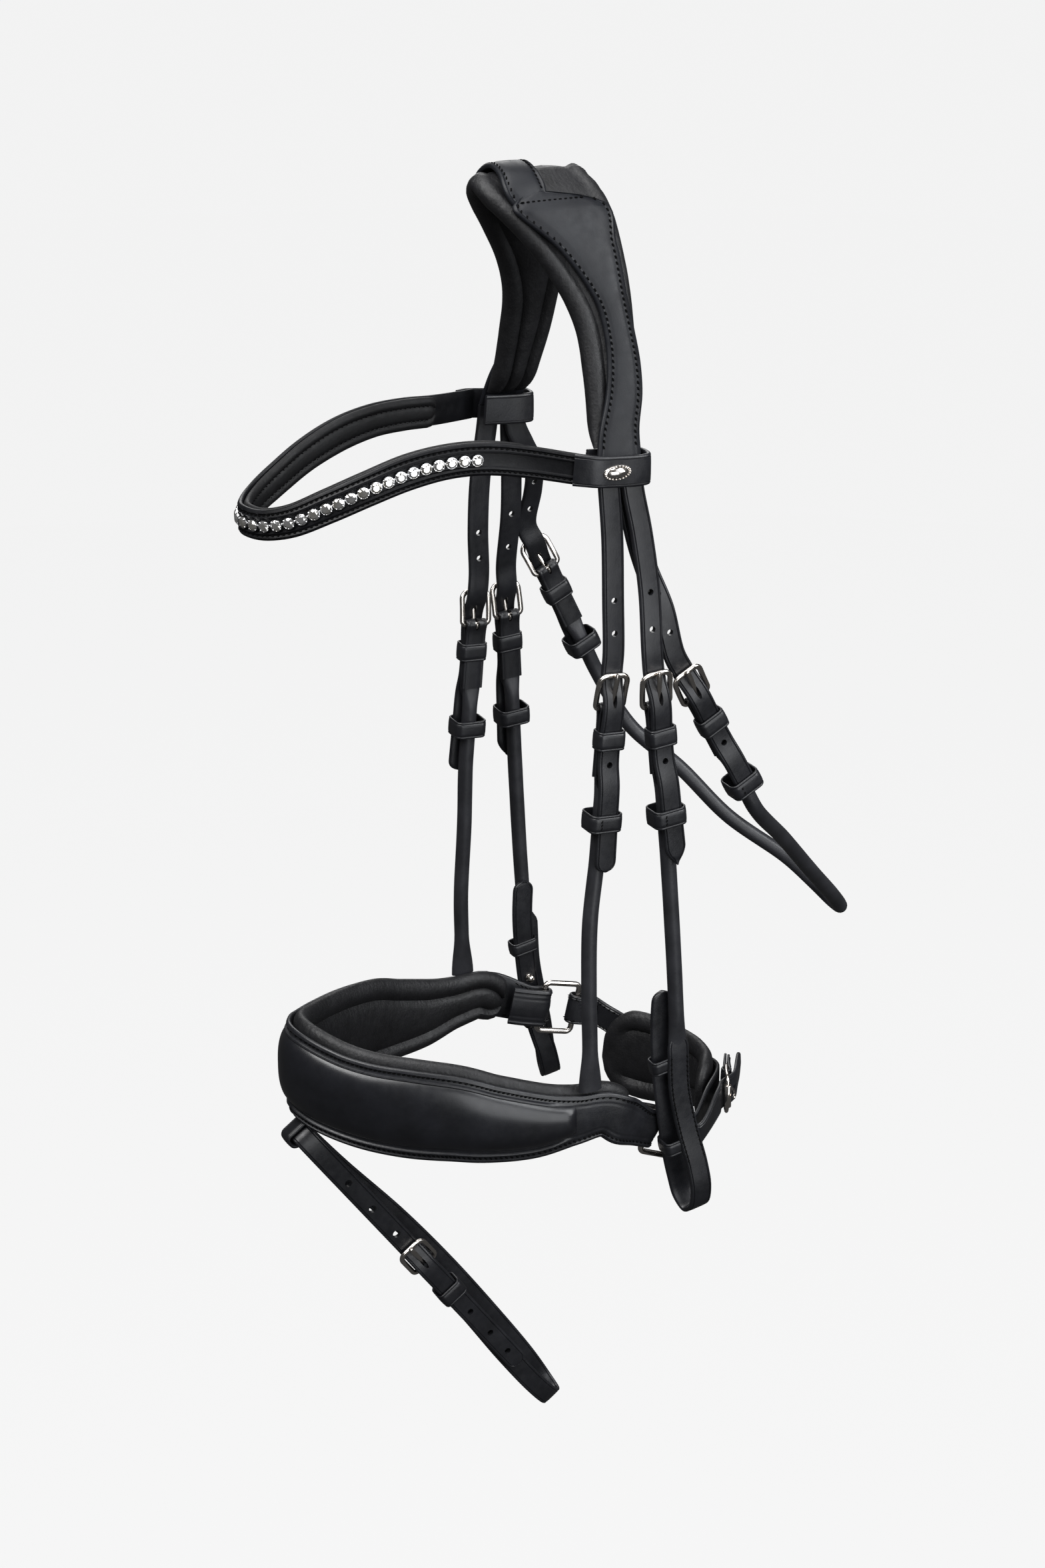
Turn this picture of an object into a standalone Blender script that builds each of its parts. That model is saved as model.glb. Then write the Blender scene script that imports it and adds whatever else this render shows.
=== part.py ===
"""A padded snaffle bridle with a crank noseband and a flash strap, built as separate pieces.

Metres, +Z up. The origin is the underside of the headpiece, where it rests on the poll. The
nose is at -Y and the near side, the horse's left, is +X.
"""

import math

import bmesh
import bpy
import numpy as np
from mathutils import Matrix, Vector

# Leather
GAP = 0.0003
STRAP = 0.0028
STRAP_WIDTH = 0.0125
CHAPE = 0.0015
ROLL_RADIUS = 0.0043
PAD = 0.009
FACING = 0.0025

# Buckles: round wire, a heel bar at the origin and a raised top bar
WIRE = 0.0012
TONGUE_WIRE = 0.0009
FRAME_LENGTH = 0.0185
FRAME_RISE = 0.0034
FRAME_TOP_CORNER = 0.0034
FRAME_HEEL_CORNER = 0.0015
FRAME_SIDE = 0.0007
TAIL_OUT = 0.0040
TAIL_ON_ROLL = 0.0062

# Keepers
KEEPER = 0.0013
KEEPER_WIDTH = 0.0105
FIXED_KEEPER_AT = -0.0165
RUNNER_AT = -0.062

# The straps leave the headpiece behind the browband
CROWN_END_Z = -0.1280

TURN_LIMIT = math.radians(14)
STEP_LIMIT = 0.016

LEATHER = ("black_leather", (0.012, 0.012, 0.014), 0.38, 0.0)
SOFT = ("soft_leather", (0.014, 0.014, 0.015), 0.62, 0.0)
METAL = ("polished_nickel", (0.78, 0.75, 0.71), 0.16, 1.0)
CRYSTAL = ("crystal", (0.86, 0.86, 0.84), 0.08, 0.3)


# ---------------------------------------------------------------- scene helpers
def clear_scene():
    for obj in list(bpy.data.objects):
        bpy.data.objects.remove(obj, do_unlink=True)


def new_collection(name, hidden=False):
    collection = bpy.data.collections.new(name)
    bpy.context.scene.collection.children.link(collection)
    collection.hide_render = hidden
    return collection


def material(look):
    name, color, roughness, metallic = look
    found = bpy.data.materials.get(name)
    if found:
        return found
    made = bpy.data.materials.new(name)
    made.use_nodes = True
    shader = made.node_tree.nodes["Principled BSDF"]
    shader.inputs["Base Color"].default_value = (*color, 1)
    shader.inputs["Roughness"].default_value = roughness
    shader.inputs["Metallic"].default_value = metallic
    made.diffuse_color = (*color, 1)
    return made


clear_scene()
PARTS = new_collection("snaffle_bridle")
CUTTERS = new_collection("cutters", hidden=True)


def add_part(name, data, look):
    obj = bpy.data.objects.new(name, data)
    data.materials.append(material(look))
    PARTS.objects.link(obj)
    return obj


def add_helper(name, data):
    obj = bpy.data.objects.new(name, data)
    obj.hide_render = True
    obj.display_type = "WIRE"
    CUTTERS.objects.link(obj)
    return obj


def boolean(obj, other, operation):
    modifier = obj.modifiers.new(f"{operation.lower()}_{other.name}", "BOOLEAN")
    modifier.operation = operation
    modifier.object = other


# ---------------------------------------------------------------- curves through points
def smooth(points, per_span=24):
    """Dense rows along a centripetal Catmull-Rom curve through rows whose first three are x, y, z."""
    rows = np.array(points, float)
    rows = np.vstack([2 * rows[0] - rows[1], rows, 2 * rows[-1] - rows[-2]])
    out = []
    for i in range(1, len(rows) - 2):
        p = rows[i - 1 : i + 3]
        gaps = [max(np.linalg.norm(p[k + 1][:3] - p[k][:3]), 1e-6) ** 0.5 for k in range(3)]
        t0, t1, t2, t3 = np.cumsum([0.0] + gaps)
        for t in np.linspace(t1, t2, per_span, endpoint=False):
            a1 = ((t1 - t) * p[0] + (t - t0) * p[1]) / (t1 - t0)
            a2 = ((t2 - t) * p[1] + (t - t1) * p[2]) / (t2 - t1)
            a3 = ((t3 - t) * p[2] + (t - t2) * p[3]) / (t3 - t2)
            b1 = ((t2 - t) * a1 + (t - t0) * a2) / (t2 - t0)
            b2 = ((t3 - t) * a2 + (t - t1) * a3) / (t3 - t1)
            out.append(((t2 - t) * b1 + (t - t1) * b2) / (t2 - t1))
    out.append(rows[-2])
    return np.array(out)


def unit(vectors):
    return vectors / np.linalg.norm(vectors, axis=-1, keepdims=True)


def tangents(centre):
    steps = unit(np.diff(centre, axis=0))
    inner = unit(steps[:-1] + steps[1:])
    return np.vstack([steps[:1], inner, steps[-1:]])


def stations(points, forced=(), step=STEP_LIMIT):
    """Rows along the smooth curve, close together only where it turns."""
    dense = smooth(points)
    lengths = np.concatenate([[0], np.cumsum(np.linalg.norm(np.diff(dense[:, :3], axis=0), axis=1))])
    directions = tangents(dense[:, :3])
    kept = [0]
    for i in range(1, len(dense) - 1):
        turned = directions[i] @ directions[kept[-1]] < math.cos(TURN_LIMIT)
        if turned or lengths[i] - lengths[kept[-1]] > step:
            kept.append(i)
    places = [lengths[i] for i in kept] + [lengths[-1]]
    tips = [lengths[-1] - back for back in forced]
    places = [p for p in places if not any(0 < abs(p - tip) < 0.0012 for tip in tips)]
    places = sorted(set(places + tips))
    columns = [np.interp(places, lengths, dense[:, k]) for k in range(dense.shape[1])]
    return np.stack(columns, axis=1), np.array(places)


def outward(mesh):
    """Turns every face of a closed mesh outwards."""
    shape = bmesh.new()
    shape.from_mesh(mesh)
    bmesh.ops.recalc_face_normals(shape, faces=shape.faces)
    shape.to_mesh(mesh)
    shape.free()


# ---------------------------------------------------------------- leather shapes
def tip_share(kind, back, length):
    """The share of the full width left at a distance back from a strap's tip."""
    if back >= length:
        return 1.0
    u = 1 - back / length
    if kind == "point":
        return max(1 - u**1.6, 0.16)
    return max(math.sqrt(1 - u * u), 0.3)


def side_rows(side, count):
    """The direction of a strip's width at each of its rows, from one vector or from one a row."""
    if np.ndim(side) > 1:
        side = [tuple(each) for each in side]
    return np.broadcast_to(np.array(side, float), (count, 3))


def ribbon_mesh(name, points, side, tip=None, tip_length=0.008, step=STEP_LIMIT):
    """An open strip along rows x, y, z, width, whose width lies along side."""
    forced = [tip_length * share for share in (1.0, 0.6, 0.3, 0.1)] if tip else []
    sides = side_rows(side, len(points))
    rows, places = stations(np.hstack([np.array(points, float), sides]), forced, step)
    centre = rows[:, :3]
    along = tangents(centre)
    sides = rows[:, 4:7]
    across = unit(sides - (along * sides).sum(axis=1, keepdims=True) * along)
    half = rows[:, 3] / 2
    if tip:
        half = half * np.array([tip_share(tip, places[-1] - p, tip_length) for p in places])
    left = centre - across * half[:, None]
    right = centre + across * half[:, None]
    count = len(rows)
    faces = [(i, i + 1, count + i + 1, count + i) for i in range(count - 1)]
    mesh = bpy.data.meshes.new(name)
    mesh.from_pydata(np.vstack([left, right]).tolist(), [], faces)
    return mesh


def ribbon(name, points, side, thickness, look=LEATHER, **shape):
    obj = add_part(name, ribbon_mesh(name, points, side, **shape), look)
    thicken(obj, thickness)
    return obj


def thicken(obj, thickness):
    solid = obj.modifiers.new("thickness", "SOLIDIFY")
    solid.thickness = thickness
    solid.offset = 0
    solid.use_even_offset = True


def widths(points, width):
    return [(*point, width) for point in points]


def outline_ring(half_a, half_b, corner, steps=2):
    """Points of a rounded rectangle in its own plane."""
    points = []
    for quarter in range(4):
        ca = (half_a - corner) * (1 if quarter in (0, 3) else -1)
        cb = (half_b - corner) * (1 if quarter in (0, 1) else -1)
        for k in range(steps + 1):
            angle = math.pi / 2 * (quarter + k / steps)
            points.append((ca + corner * math.cos(angle), cb + corner * math.sin(angle)))
    return points


def ring_mesh(name, centre, axis_a, axis_b, half_a, half_b, width, corner=0.0015):
    """A closed band round a rounded rectangle, as wide as width along the third axis."""
    axis_c = Vector(axis_a).cross(Vector(axis_b)).normalized()
    outline = outline_ring(half_a, half_b, corner)
    points = []
    for sign in (-0.5, 0.5):
        for a, b in outline:
            spoke = Vector(axis_a) * a + Vector(axis_b) * b
            points.append(Vector(centre) + spoke + axis_c * width * sign)
    count = len(outline)
    faces = [(i, (i + 1) % count, count + (i + 1) % count, count + i) for i in range(count)]
    mesh = bpy.data.meshes.new(name)
    mesh.from_pydata(points, [], faces)
    return mesh


def ring(name, centre, axis_a, axis_b, half_a, half_b, width, thickness=KEEPER):
    obj = add_part(name, ring_mesh(name, centre, axis_a, axis_b, half_a, half_b, width), LEATHER)
    thicken(obj, thickness)
    return obj


def helper_ring(name, centre, axis_a, axis_b, half_a, half_b, width):
    obj = add_helper(name, ring_mesh(name, centre, axis_a, axis_b, half_a, half_b, width))
    thicken(obj, KEEPER)
    return obj


def tube_curve(name, points, radius, closed=False, sides=2, flare=None, step=STEP_LIMIT):
    rows = np.array(points, float) if closed else stations(points, step=step)[0]
    curve = bpy.data.curves.new(name, "CURVE")
    curve.dimensions = "3D"
    curve.bevel_depth = radius
    curve.bevel_resolution = sides
    curve.use_fill_caps = not closed
    spline = curve.splines.new("POLY")
    spline.points.add(len(rows) - 1)
    for index, row in enumerate(rows):
        spline.points[index].co = (*row[:3], 1)
        if flare and index >= len(rows) - len(flare):
            spline.points[index].radius = flare[index - len(rows) + len(flare)]
    spline.use_cyclic_u = closed
    return curve


def tube(name, points, radius, look, **settings):
    return add_part(name, tube_curve(name, points, radius, **settings), look)


def helper_tube(name, points, radius, **settings):
    """A tube as a welded mesh, which a Boolean can use."""
    guide = add_helper(name + "_curve", tube_curve(name + "_curve", points, radius, **settings))
    bpy.context.view_layer.update()
    graph = bpy.context.evaluated_depsgraph_get()
    mesh = bpy.data.meshes.new_from_object(guide.evaluated_get(graph))
    shape = bmesh.new()
    shape.from_mesh(mesh)
    bmesh.ops.remove_doubles(shape, verts=shape.verts, dist=0.00002)
    bmesh.ops.recalc_face_normals(shape, faces=shape.faces)
    shape.to_mesh(mesh)
    shape.free()
    bpy.data.objects.remove(guide, do_unlink=True)
    return add_helper(name, mesh)


def box_cutter(name, centre, axes, sizes):
    """A box with its edges along three given axes."""
    turn = Matrix([list(axis.normalized()) for axis in axes]).transposed()
    shape = bmesh.new()
    bmesh.ops.create_cube(shape, size=1)
    bmesh.ops.scale(shape, vec=sizes, verts=shape.verts)
    bmesh.ops.transform(shape, matrix=Matrix.Translation(centre) @ turn.to_4x4(), verts=shape.verts)
    bmesh.ops.recalc_face_normals(shape, faces=shape.faces)
    mesh = bpy.data.meshes.new(name)
    shape.to_mesh(mesh)
    shape.free()
    return add_helper(name, mesh)


def hole_cutter(name, places, radius=0.0017, depth=0.006):
    """One cutter of round punches, each given as its centre and the direction it goes through."""
    shape = bmesh.new()
    for centre, through in places:
        turn = Vector((0, 0, 1)).rotation_difference(Vector(through)).to_matrix().to_4x4()
        bmesh.ops.create_cone(
            shape,
            cap_ends=True,
            segments=8,
            radius1=radius,
            radius2=radius,
            depth=depth,
            matrix=Matrix.Translation(centre) @ turn,
        )
    mesh = bpy.data.meshes.new(name)
    shape.to_mesh(mesh)
    shape.free()
    return add_helper(name, mesh)


# ---------------------------------------------------------------- a buckle and what runs through it
class Buckle:
    """Places a buckle: its heel bar's centre, the way up to its top bar and the way out."""

    def __init__(self, heel, down, out, width=STRAP_WIDTH):
        self.heel = Vector(heel)
        self.up = -Vector(down).normalized()
        out = Vector(out)
        self.out = (out - out.dot(self.up) * self.up).normalized()
        self.across = self.up.cross(self.out)
        self.width = width

    def at(self, up, out, across=0.0):
        return self.heel + self.up * up + self.out * out + self.across * across

    def frame(self, name):
        half = self.width / 2 + FRAME_SIDE + WIRE
        middle = FRAME_LENGTH / 2
        points = []
        top = outline_ring(half, middle, FRAME_TOP_CORNER, steps=3)
        heel = outline_ring(half, middle, FRAME_HEEL_CORNER, steps=3)
        for a, b in [p for p in top if p[1] > 0] + [p for p in heel if p[1] < 0]:
            up = b + middle
            points.append(self.at(up, FRAME_RISE * (up / FRAME_LENGTH) ** 1.5, a))
        return tube(name, points, WIRE, METAL, closed=True)

    def tongue(self, name, lift=0.0):
        coil = WIRE + GAP + TONGUE_WIRE
        points = [
            self.at(coil * math.cos(math.radians(a)), coil * math.sin(math.radians(a)))
            for a in (-70, -115, -160, 155, 110, 80)
        ]
        points += [self.at(0.009, 0.0043), self.at(0.0165, 0.0059 + lift), self.at(0.0205, 0.0062 + lift)]
        return tube(name, points, TONGUE_WIRE, METAL, sides=1)

    def strap_points(self, tail, aside=0.0):
        """The strap's centre from above the top bar, over the heel bar and down to its tip."""
        route = [(0.030, 0.0), (0.0185, 0.0), (0.013, 0.0012), (0.008, 0.0036), (0.003, 0.0049)]
        route += [(-0.001, 0.0051), (-0.006, 0.0048), (-0.013, TAIL_OUT), (-0.030, TAIL_OUT)]
        points = [tuple(self.at(up, out)) for up, out in route]
        for up in (-0.042, -0.062, -tail):
            points.append(tuple(self.at(up, TAIL_ON_ROLL, aside * (up + 0.030) / (0.030 - tail))))
        return points

    def fold(self, radius):
        """Leather's centre as it goes round the heel bar, from the horse's side to the outside."""
        turns = [math.radians(angle) for angle in range(-120, 121, 30)]
        return [self.at(radius * math.cos(turn), radius * math.sin(turn)) for turn in turns]

    def chape_points(self, inner_end):
        """Leather folded round the heel bar, from its end on the horse's side to its outer layer."""
        fold = WIRE + 0.0004 + CHAPE / 2
        points = [self.at(-inner_end, -0.00105), self.at(-0.012, -0.00105), self.at(-0.004, -0.0014)]
        points += self.fold(fold)
        points += [self.at(-0.004, 0.0014), self.at(-0.012, 0.00105)]
        return [tuple(point) for point in points]

    def tongue_slot(self, name):
        """Clears the tongue through a strap that lies over the heel bar."""
        return box_cutter(
            name, self.at(0.00625, 0.004), (self.across, self.up, self.out), (0.0026, 0.0125, 0.009)
        )

    def chape_slot(self, name):
        return box_cutter(name, self.at(0, 0), (self.across, self.up, self.out), (0.0026, 0.0076, 0.012))

    def fixed_keeper(self, name, at=FIXED_KEEPER_AT):
        back, front = -0.0018, TAIL_OUT + STRAP / 2 + 0.0008 + KEEPER / 2
        centre = self.at(at, (back + front) / 2)
        half = self.width / 2 + 0.0005 + KEEPER / 2
        return helper_ring(name, centre, self.across, self.out, half, (front - back) / 2, KEEPER_WIDTH)

    def runner(self, name, at=RUNNER_AT):
        back = -(ROLL_RADIUS + 0.0005 + KEEPER / 2)
        front = TAIL_ON_ROLL + STRAP / 2 + 0.0007 + KEEPER / 2
        centre = self.at(at, (back + front) / 2)
        half = self.width / 2 + 0.0019 + KEEPER / 2
        return ring(name, centre, self.across, self.out, half, (front - back) / 2, 0.0100)


def billet(buckle, name, side_name, inner_end=0.038):
    """The folded and stitched leather that holds a buckle, with its fixed keeper."""
    points = widths(buckle.chape_points(inner_end), buckle.width)
    outer_end = inner_end + 0.002
    points += [(*buckle.at(-outer_end, 0.00105), buckle.width), (*buckle.at(-outer_end - 0.008, 0.0), 0.006)]
    obj = ribbon(name, points[::-1], buckle.across, CHAPE, tip="point", tip_length=0.010)
    boolean(obj, buckle.chape_slot(f"slot_{side_name}"), "DIFFERENCE")
    boolean(obj, buckle.fixed_keeper(f"keeper_{side_name}"), "UNION")
    return obj


# ---------------------------------------------------------------- headpiece
# Half of its outer line over the poll: x, z, front edge y, rear edge y
CROWN = [
    (0.0000, 0.0120, -0.0330, 0.0310),
    (0.0135, 0.0045, -0.0300, 0.0350),
    (0.0240, -0.0065, -0.0225, 0.0375),
    (0.0325, -0.0215, -0.0120, 0.0385),
    (0.0400, -0.0400, -0.0010, 0.0392),
    (0.0470, -0.0600, 0.0060, 0.0386),
    (0.0540, -0.0825, 0.0072, 0.0368),
    (0.0600, -0.1040, 0.0066, 0.0330),
    (0.0630, -0.1145, 0.0054, 0.0316),
]


HEAD_PAD = 0.0100
HEAD_PAD_SUNK = 0.0010


def crown_line(drop):
    """The whole line over the poll, moved in by drop, as rows x, z, front y, rear y."""
    half = np.array([(x, 0, z, front, rear) for x, z, front, rear in CROWN])
    both = np.vstack([half[:0:-1] * [-1, 1, 1, 1, 1], half])
    rows, _ = stations(both, step=0.011)
    along = tangents(rows[:, :3])
    outward = np.stack([-along[:, 2], along[:, 1], along[:, 0]], axis=1)
    rows[:, :3] = rows[:, :3] + outward * -drop
    return rows


def sheet(name, rows, columns, thickness, look):
    """A solid sheet over a grid of points, given row by row."""
    points = [point for row in rows for point in row]
    faces = []
    for i in range(len(rows) - 1):
        for j in range(columns - 1):
            a = i * columns + j
            faces.append((a, a + 1, a + columns + 1, a + columns))
    mesh = bpy.data.meshes.new(name)
    mesh.from_pydata(points, [], faces)
    obj = add_part(name, mesh, look)
    thicken(obj, thickness)
    return obj


def headpiece_pad():
    rows = []
    for x, _, z, front, rear in crown_line(HEAD_PAD / 2 + HEAD_PAD_SUNK):
        rows.append([(x, front + (rear - front) * t, z) for t in (0, 0.12, 0.5, 0.88, 1)])
    sheet("headpiece_pad", rows, 5, HEAD_PAD, SOFT)


# A near-side panel: x, z, front edge y, rear edge y
PANEL = [
    (0.0162, 0.0020, -0.0180, 0.0050),
    (0.0215, -0.0030, -0.0215, 0.0290),
    (0.0335, -0.0230, -0.0010, 0.0322),
    (0.0430, -0.0480, 0.0145, 0.0335),
    (0.0482, -0.0640, 0.0176, 0.0350),
    (0.0530, -0.0800, 0.0172, 0.0362),
    (0.0575, -0.0955, 0.0140, 0.0352),
    (0.0622, -0.1120, 0.0080, 0.0312),
    (0.0668, CROWN_END_Z, 0.0045, 0.0303),
]


def headpiece_panel(side_name, sign):
    rows, _ = stations([(x, 0, z, front, rear) for x, z, front, rear in PANEL], step=0.011)
    along = tangents(rows[:, :3])
    lift = 0.0010 + STRAP / 2
    grid = []
    for row, (tx, _, tz) in zip(rows, along):
        x, z = row[0] - tz * lift, row[2] + tx * lift
        grid.append([(sign * x, row[3] + (row[4] - row[3]) * t, z) for t in (0, 0.5, 1)])
    sheet(f"headpiece_panel_{side_name}", grid, 3, STRAP, LEATHER)


def poll_bridge():
    """The raised leather band that ties the two panels together over the poll."""
    points = [(-0.0125, -0.0105, 0.0098), (0, -0.0105, 0.0134), (0.0125, -0.0105, 0.0098)]
    ribbon("poll_bridge", widths(points, 0.021), (0, 1, 0), 0.0030)


# ---------------------------------------------------------------- side straps and cheekpieces
SIDES = {"near": 1, "far": -1}

HANGER_BUCKLES = {
    "near": ((0.0760, 0.0095, -0.2560), (0.0010, -0.0074, -0.0933)),
    "far": ((-0.0755, 0.0045, -0.2565), (-0.0010, -0.0052, -0.0710)),
}
CHEEK_BUCKLES = {
    "near": ((0.0835, 0.0335, -0.2560), (0.0030, 0.0088, -0.1030)),
    "far": ((-0.0835, 0.0290, -0.2575), (-0.0030, 0.0056, -0.0915)),
}
THROAT_BUCKLES = {
    "near": ((0.0790, 0.0603, -0.2575), (0.0000, 0.0400, -0.0740)),
    "far": ((-0.0840, 0.0540, -0.2332), (0.0005, 0.0230, -0.0480)),
}
HANGER_STRAP_TOPS = {
    "near": [(0.0692, 0.0106, -0.1298), (0.0706, 0.0108, -0.1380), (0.0722, 0.0122, -0.1644),
             (0.0747, 0.0118, -0.1975)],
    "far": [(-0.0692, 0.0104, -0.1298), (-0.0704, 0.0098, -0.1400), (-0.0718, 0.0060, -0.1720),
            (-0.0738, 0.0056, -0.2020)],
}
CHEEK_STRAP_TOPS = {
    "near": [(0.0690, 0.0243, -0.1284), (0.0706, 0.0246, -0.1400), (0.0735, 0.0285, -0.1640),
             (0.0772, 0.0316, -0.1950)],
    "far": [(-0.0690, 0.0243, -0.1284), (-0.0706, 0.0243, -0.1400), (-0.0735, 0.0262, -0.1640),
            (-0.0772, 0.0276, -0.1950)],
}
THROAT_STRAP_TOPS = {
    "near": [(0.0640, 0.0240, -0.1284), (0.0650, 0.0252, -0.1450), (0.0668, 0.0285, -0.1650),
             (0.0703, 0.0335, -0.1850), (0.0764, 0.0403, -0.2060)],
    "far": [(-0.0640, 0.0240, -0.1284), (-0.0643, 0.0240, -0.1400), (-0.0652, 0.0300, -0.1530),
            (-0.0682, 0.0375, -0.1665), (-0.0788, 0.0422, -0.1845)],
}


def side_buckle(table, side_name):
    heel, down = table[side_name]
    return Buckle(heel, down, (SIDES[side_name], 0, 0))


def buckled_strap(name, tops, buckle, tail, aside=0.0, tip="round"):
    """A strap from the headpiece through a buckle, with its tongue slot."""
    points = widths(tops + buckle.strap_points(tail, aside), buckle.width)
    obj = ribbon(name, points, buckle.across, STRAP, tip=tip)
    boolean(obj, buckle.tongue_slot(f"tongue_slot_{name}"), "DIFFERENCE")
    return obj


def punched(obj, buckle, above, below):
    """Spare holes up the strap from the top bar, and down its tail."""
    places = [(Vector(point), buckle.out) for point in above]
    places += [(buckle.at(up, TAIL_OUT if up > -0.045 else TAIL_ON_ROLL), buckle.out) for up in below]
    boolean(obj, hole_cutter(f"holes_{obj.name}", places, depth=0.0048), "DIFFERENCE")


def between(first, second, share):
    return Vector(first).lerp(Vector(second), share)


HANGER_ROLLS = {
    "near": [(0.0785, -0.0018, -0.3761), (0.0803, -0.0030, -0.4150), (0.0810, -0.0024, -0.4500),
             (0.0810, -0.0022, -0.4705)],
    "far": [(-0.0782, -0.0022, -0.3790), (-0.0802, -0.0038, -0.4250), (-0.0810, -0.0032, -0.4520),
            (-0.0810, -0.0027, -0.4705)],
}
CHEEK_ROLLS = {
    "near": [(0.0878, 0.0450, -0.4050), (0.0888, 0.0474, -0.4490)],
    "far": [(-0.0880, 0.0384, -0.4050), (-0.0888, 0.0416, -0.4490)],
}


def rolled_leg(name, buckle, lower, flare=None, billet_end=0.038):
    """Billet, keeper and rolled leather as one sewn piece."""
    obj = billet(buckle, name, name, billet_end)
    top = billet_end + 0.0065
    route = [buckle.at(-top, 0), buckle.at(-top - 0.02, 0), buckle.at(-top - 0.042, 0)]
    route = [tuple(point) for point in route] + lower
    boolean(obj, helper_tube(f"roll_{name}", route, ROLL_RADIUS, flare=flare, step=0.022), "UNION")
    return obj


def hangers():
    for side_name in SIDES:
        buckle = side_buckle(HANGER_BUCKLES, side_name)
        strap = buckled_strap(
            f"hanger_strap_{side_name}", HANGER_STRAP_TOPS[side_name], buckle, 0.090, aside=0.0018
        )
        tops = HANGER_STRAP_TOPS[side_name]
        end = buckle.at(0.030, 0.0)
        above = [between(tops[-1], end, 0.0), between(tops[-1], end, 0.62)]
        punched(strap, buckle, above, (-0.0090, -0.0300))
        buckle.frame(f"hanger_buckle_{side_name}")
        buckle.tongue(f"hanger_tongue_{side_name}")
        buckle.runner(f"hanger_runner_{side_name}")
        rolled_leg(f"hanger_{side_name}", buckle, HANGER_ROLLS[side_name], flare=(1.35,))


def cheeks():
    for side_name in SIDES:
        buckle = side_buckle(CHEEK_BUCKLES, side_name)
        strap = buckled_strap(
            f"cheek_strap_{side_name}", CHEEK_STRAP_TOPS[side_name], buckle, 0.090, aside=0.0018, tip="point"
        )
        tops = CHEEK_STRAP_TOPS[side_name]
        end = buckle.at(0.030, 0.0)
        above = [between(tops[-1], end, 0.0), between(tops[-1], end, 0.62)]
        punched(strap, buckle, above, (-0.0300,))
        buckle.frame(f"cheek_buckle_{side_name}")
        buckle.tongue(f"cheek_tongue_{side_name}")
        buckle.runner(f"cheek_runner_{side_name}")
        rolled_leg(f"cheekpiece_{side_name}", buckle, CHEEK_ROLLS[side_name])


# Near-side bit strap, outer layer down, round the bit ring's place and up inside: x, y, z
BIT_STRAP = [
    (0.0890, 0.0476, -0.4545),
    (0.0905, 0.0487, -0.4830),
    (0.0928, 0.0530, -0.5080),
    (0.0965, 0.0578, -0.5300),
    (0.0980, 0.0598, -0.5450),
    (0.0955, 0.0600, -0.5560),
    (0.0895, 0.0590, -0.5600),
    (0.0840, 0.0565, -0.5545),
    (0.0822, 0.0535, -0.5420),
    (0.0838, 0.0480, -0.5200),
    (0.0842, 0.0448, -0.5000),
    (0.0830, 0.0418, -0.4709),
    (0.0822, 0.0408, -0.4470),
    (0.0822, 0.0415, -0.4250),
]
BIT_STRAP_SIDE = (0.0, 0.985, 0.17)
# How far back each side hangs, at its lower and upper ends
BIT_SHIFT = {"near": (0.0, 0.0), "far": (0.0015, -0.0035)}
BIT_KEEPERS = ((0.0848, 0.0418, -0.4680, 0.0041), (0.0874, 0.0486, -0.5180, 0.0061))


def side_point(point, side_name):
    """A near-side point of the bit end, on either side."""
    x, y, z = point[:3]
    share = min(max((z + 0.57) / 0.12, 0.0), 1.0)
    low, high = BIT_SHIFT[side_name]
    return (SIDES[side_name] * x, y + low + (high - low) * share, z)


def bit_ends():
    for side_name, sign in SIDES.items():
        points = widths([side_point(point, side_name) for point in BIT_STRAP], 0.0130)
        obj = ribbon(f"bit_strap_{side_name}", points, BIT_STRAP_SIDE, STRAP, tip="round")
        across = Vector(BIT_STRAP_SIDE).normalized()
        for index, (x, y, z, half) in enumerate(BIT_KEEPERS):
            centre = side_point((x, y, z), side_name)
            keeper = helper_ring(
                f"bit_keeper_{side_name}_{index}", centre, (1, 0, 0), across, half, 0.0078, 0.0085
            )
            boolean(obj, keeper, "UNION")
        hook_stud(side_name, sign)


def turned_mesh(name, profile, turns=10):
    """A closed solid of revolution about x, from rows of radius and x."""
    shape = bmesh.new()
    angles = [math.tau * k / turns for k in range(turns)]
    rings = []
    for radius, x in profile:
        places = [(x, radius * math.cos(angle), radius * math.sin(angle)) for angle in angles]
        rings.append([shape.verts.new(place) for place in places])
    for lower, upper in zip(rings, rings[1:]):
        for k in range(turns):
            after = (k + 1) % turns
            shape.faces.new((lower[k], lower[after], upper[after], upper[k]))
    shape.faces.new(rings[0][::-1])
    shape.faces.new(rings[-1])
    bmesh.ops.recalc_face_normals(shape, faces=shape.faces)
    mesh = bpy.data.meshes.new(name)
    shape.to_mesh(mesh)
    shape.free()
    return mesh


def hook_stud(side_name, sign):
    """A turned stud on the inner layer: foot, neck and round head."""
    profile = [(0.0024, 0.0), (0.0024, 0.0006), (0.0012, 0.0010), (0.0012, 0.0022)]
    profile += [(0.0021, 0.0028), (0.0021, 0.0036), (0.0012, 0.0042)]
    inwards = [(radius, -sign * height) for radius, height in profile]
    name = f"hook_stud_{side_name}"
    obj = add_part(name, turned_mesh(name, inwards), METAL)
    obj.location = side_point((0.0838 - STRAP / 2 - GAP, 0.0436, -0.4890), side_name)


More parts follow.
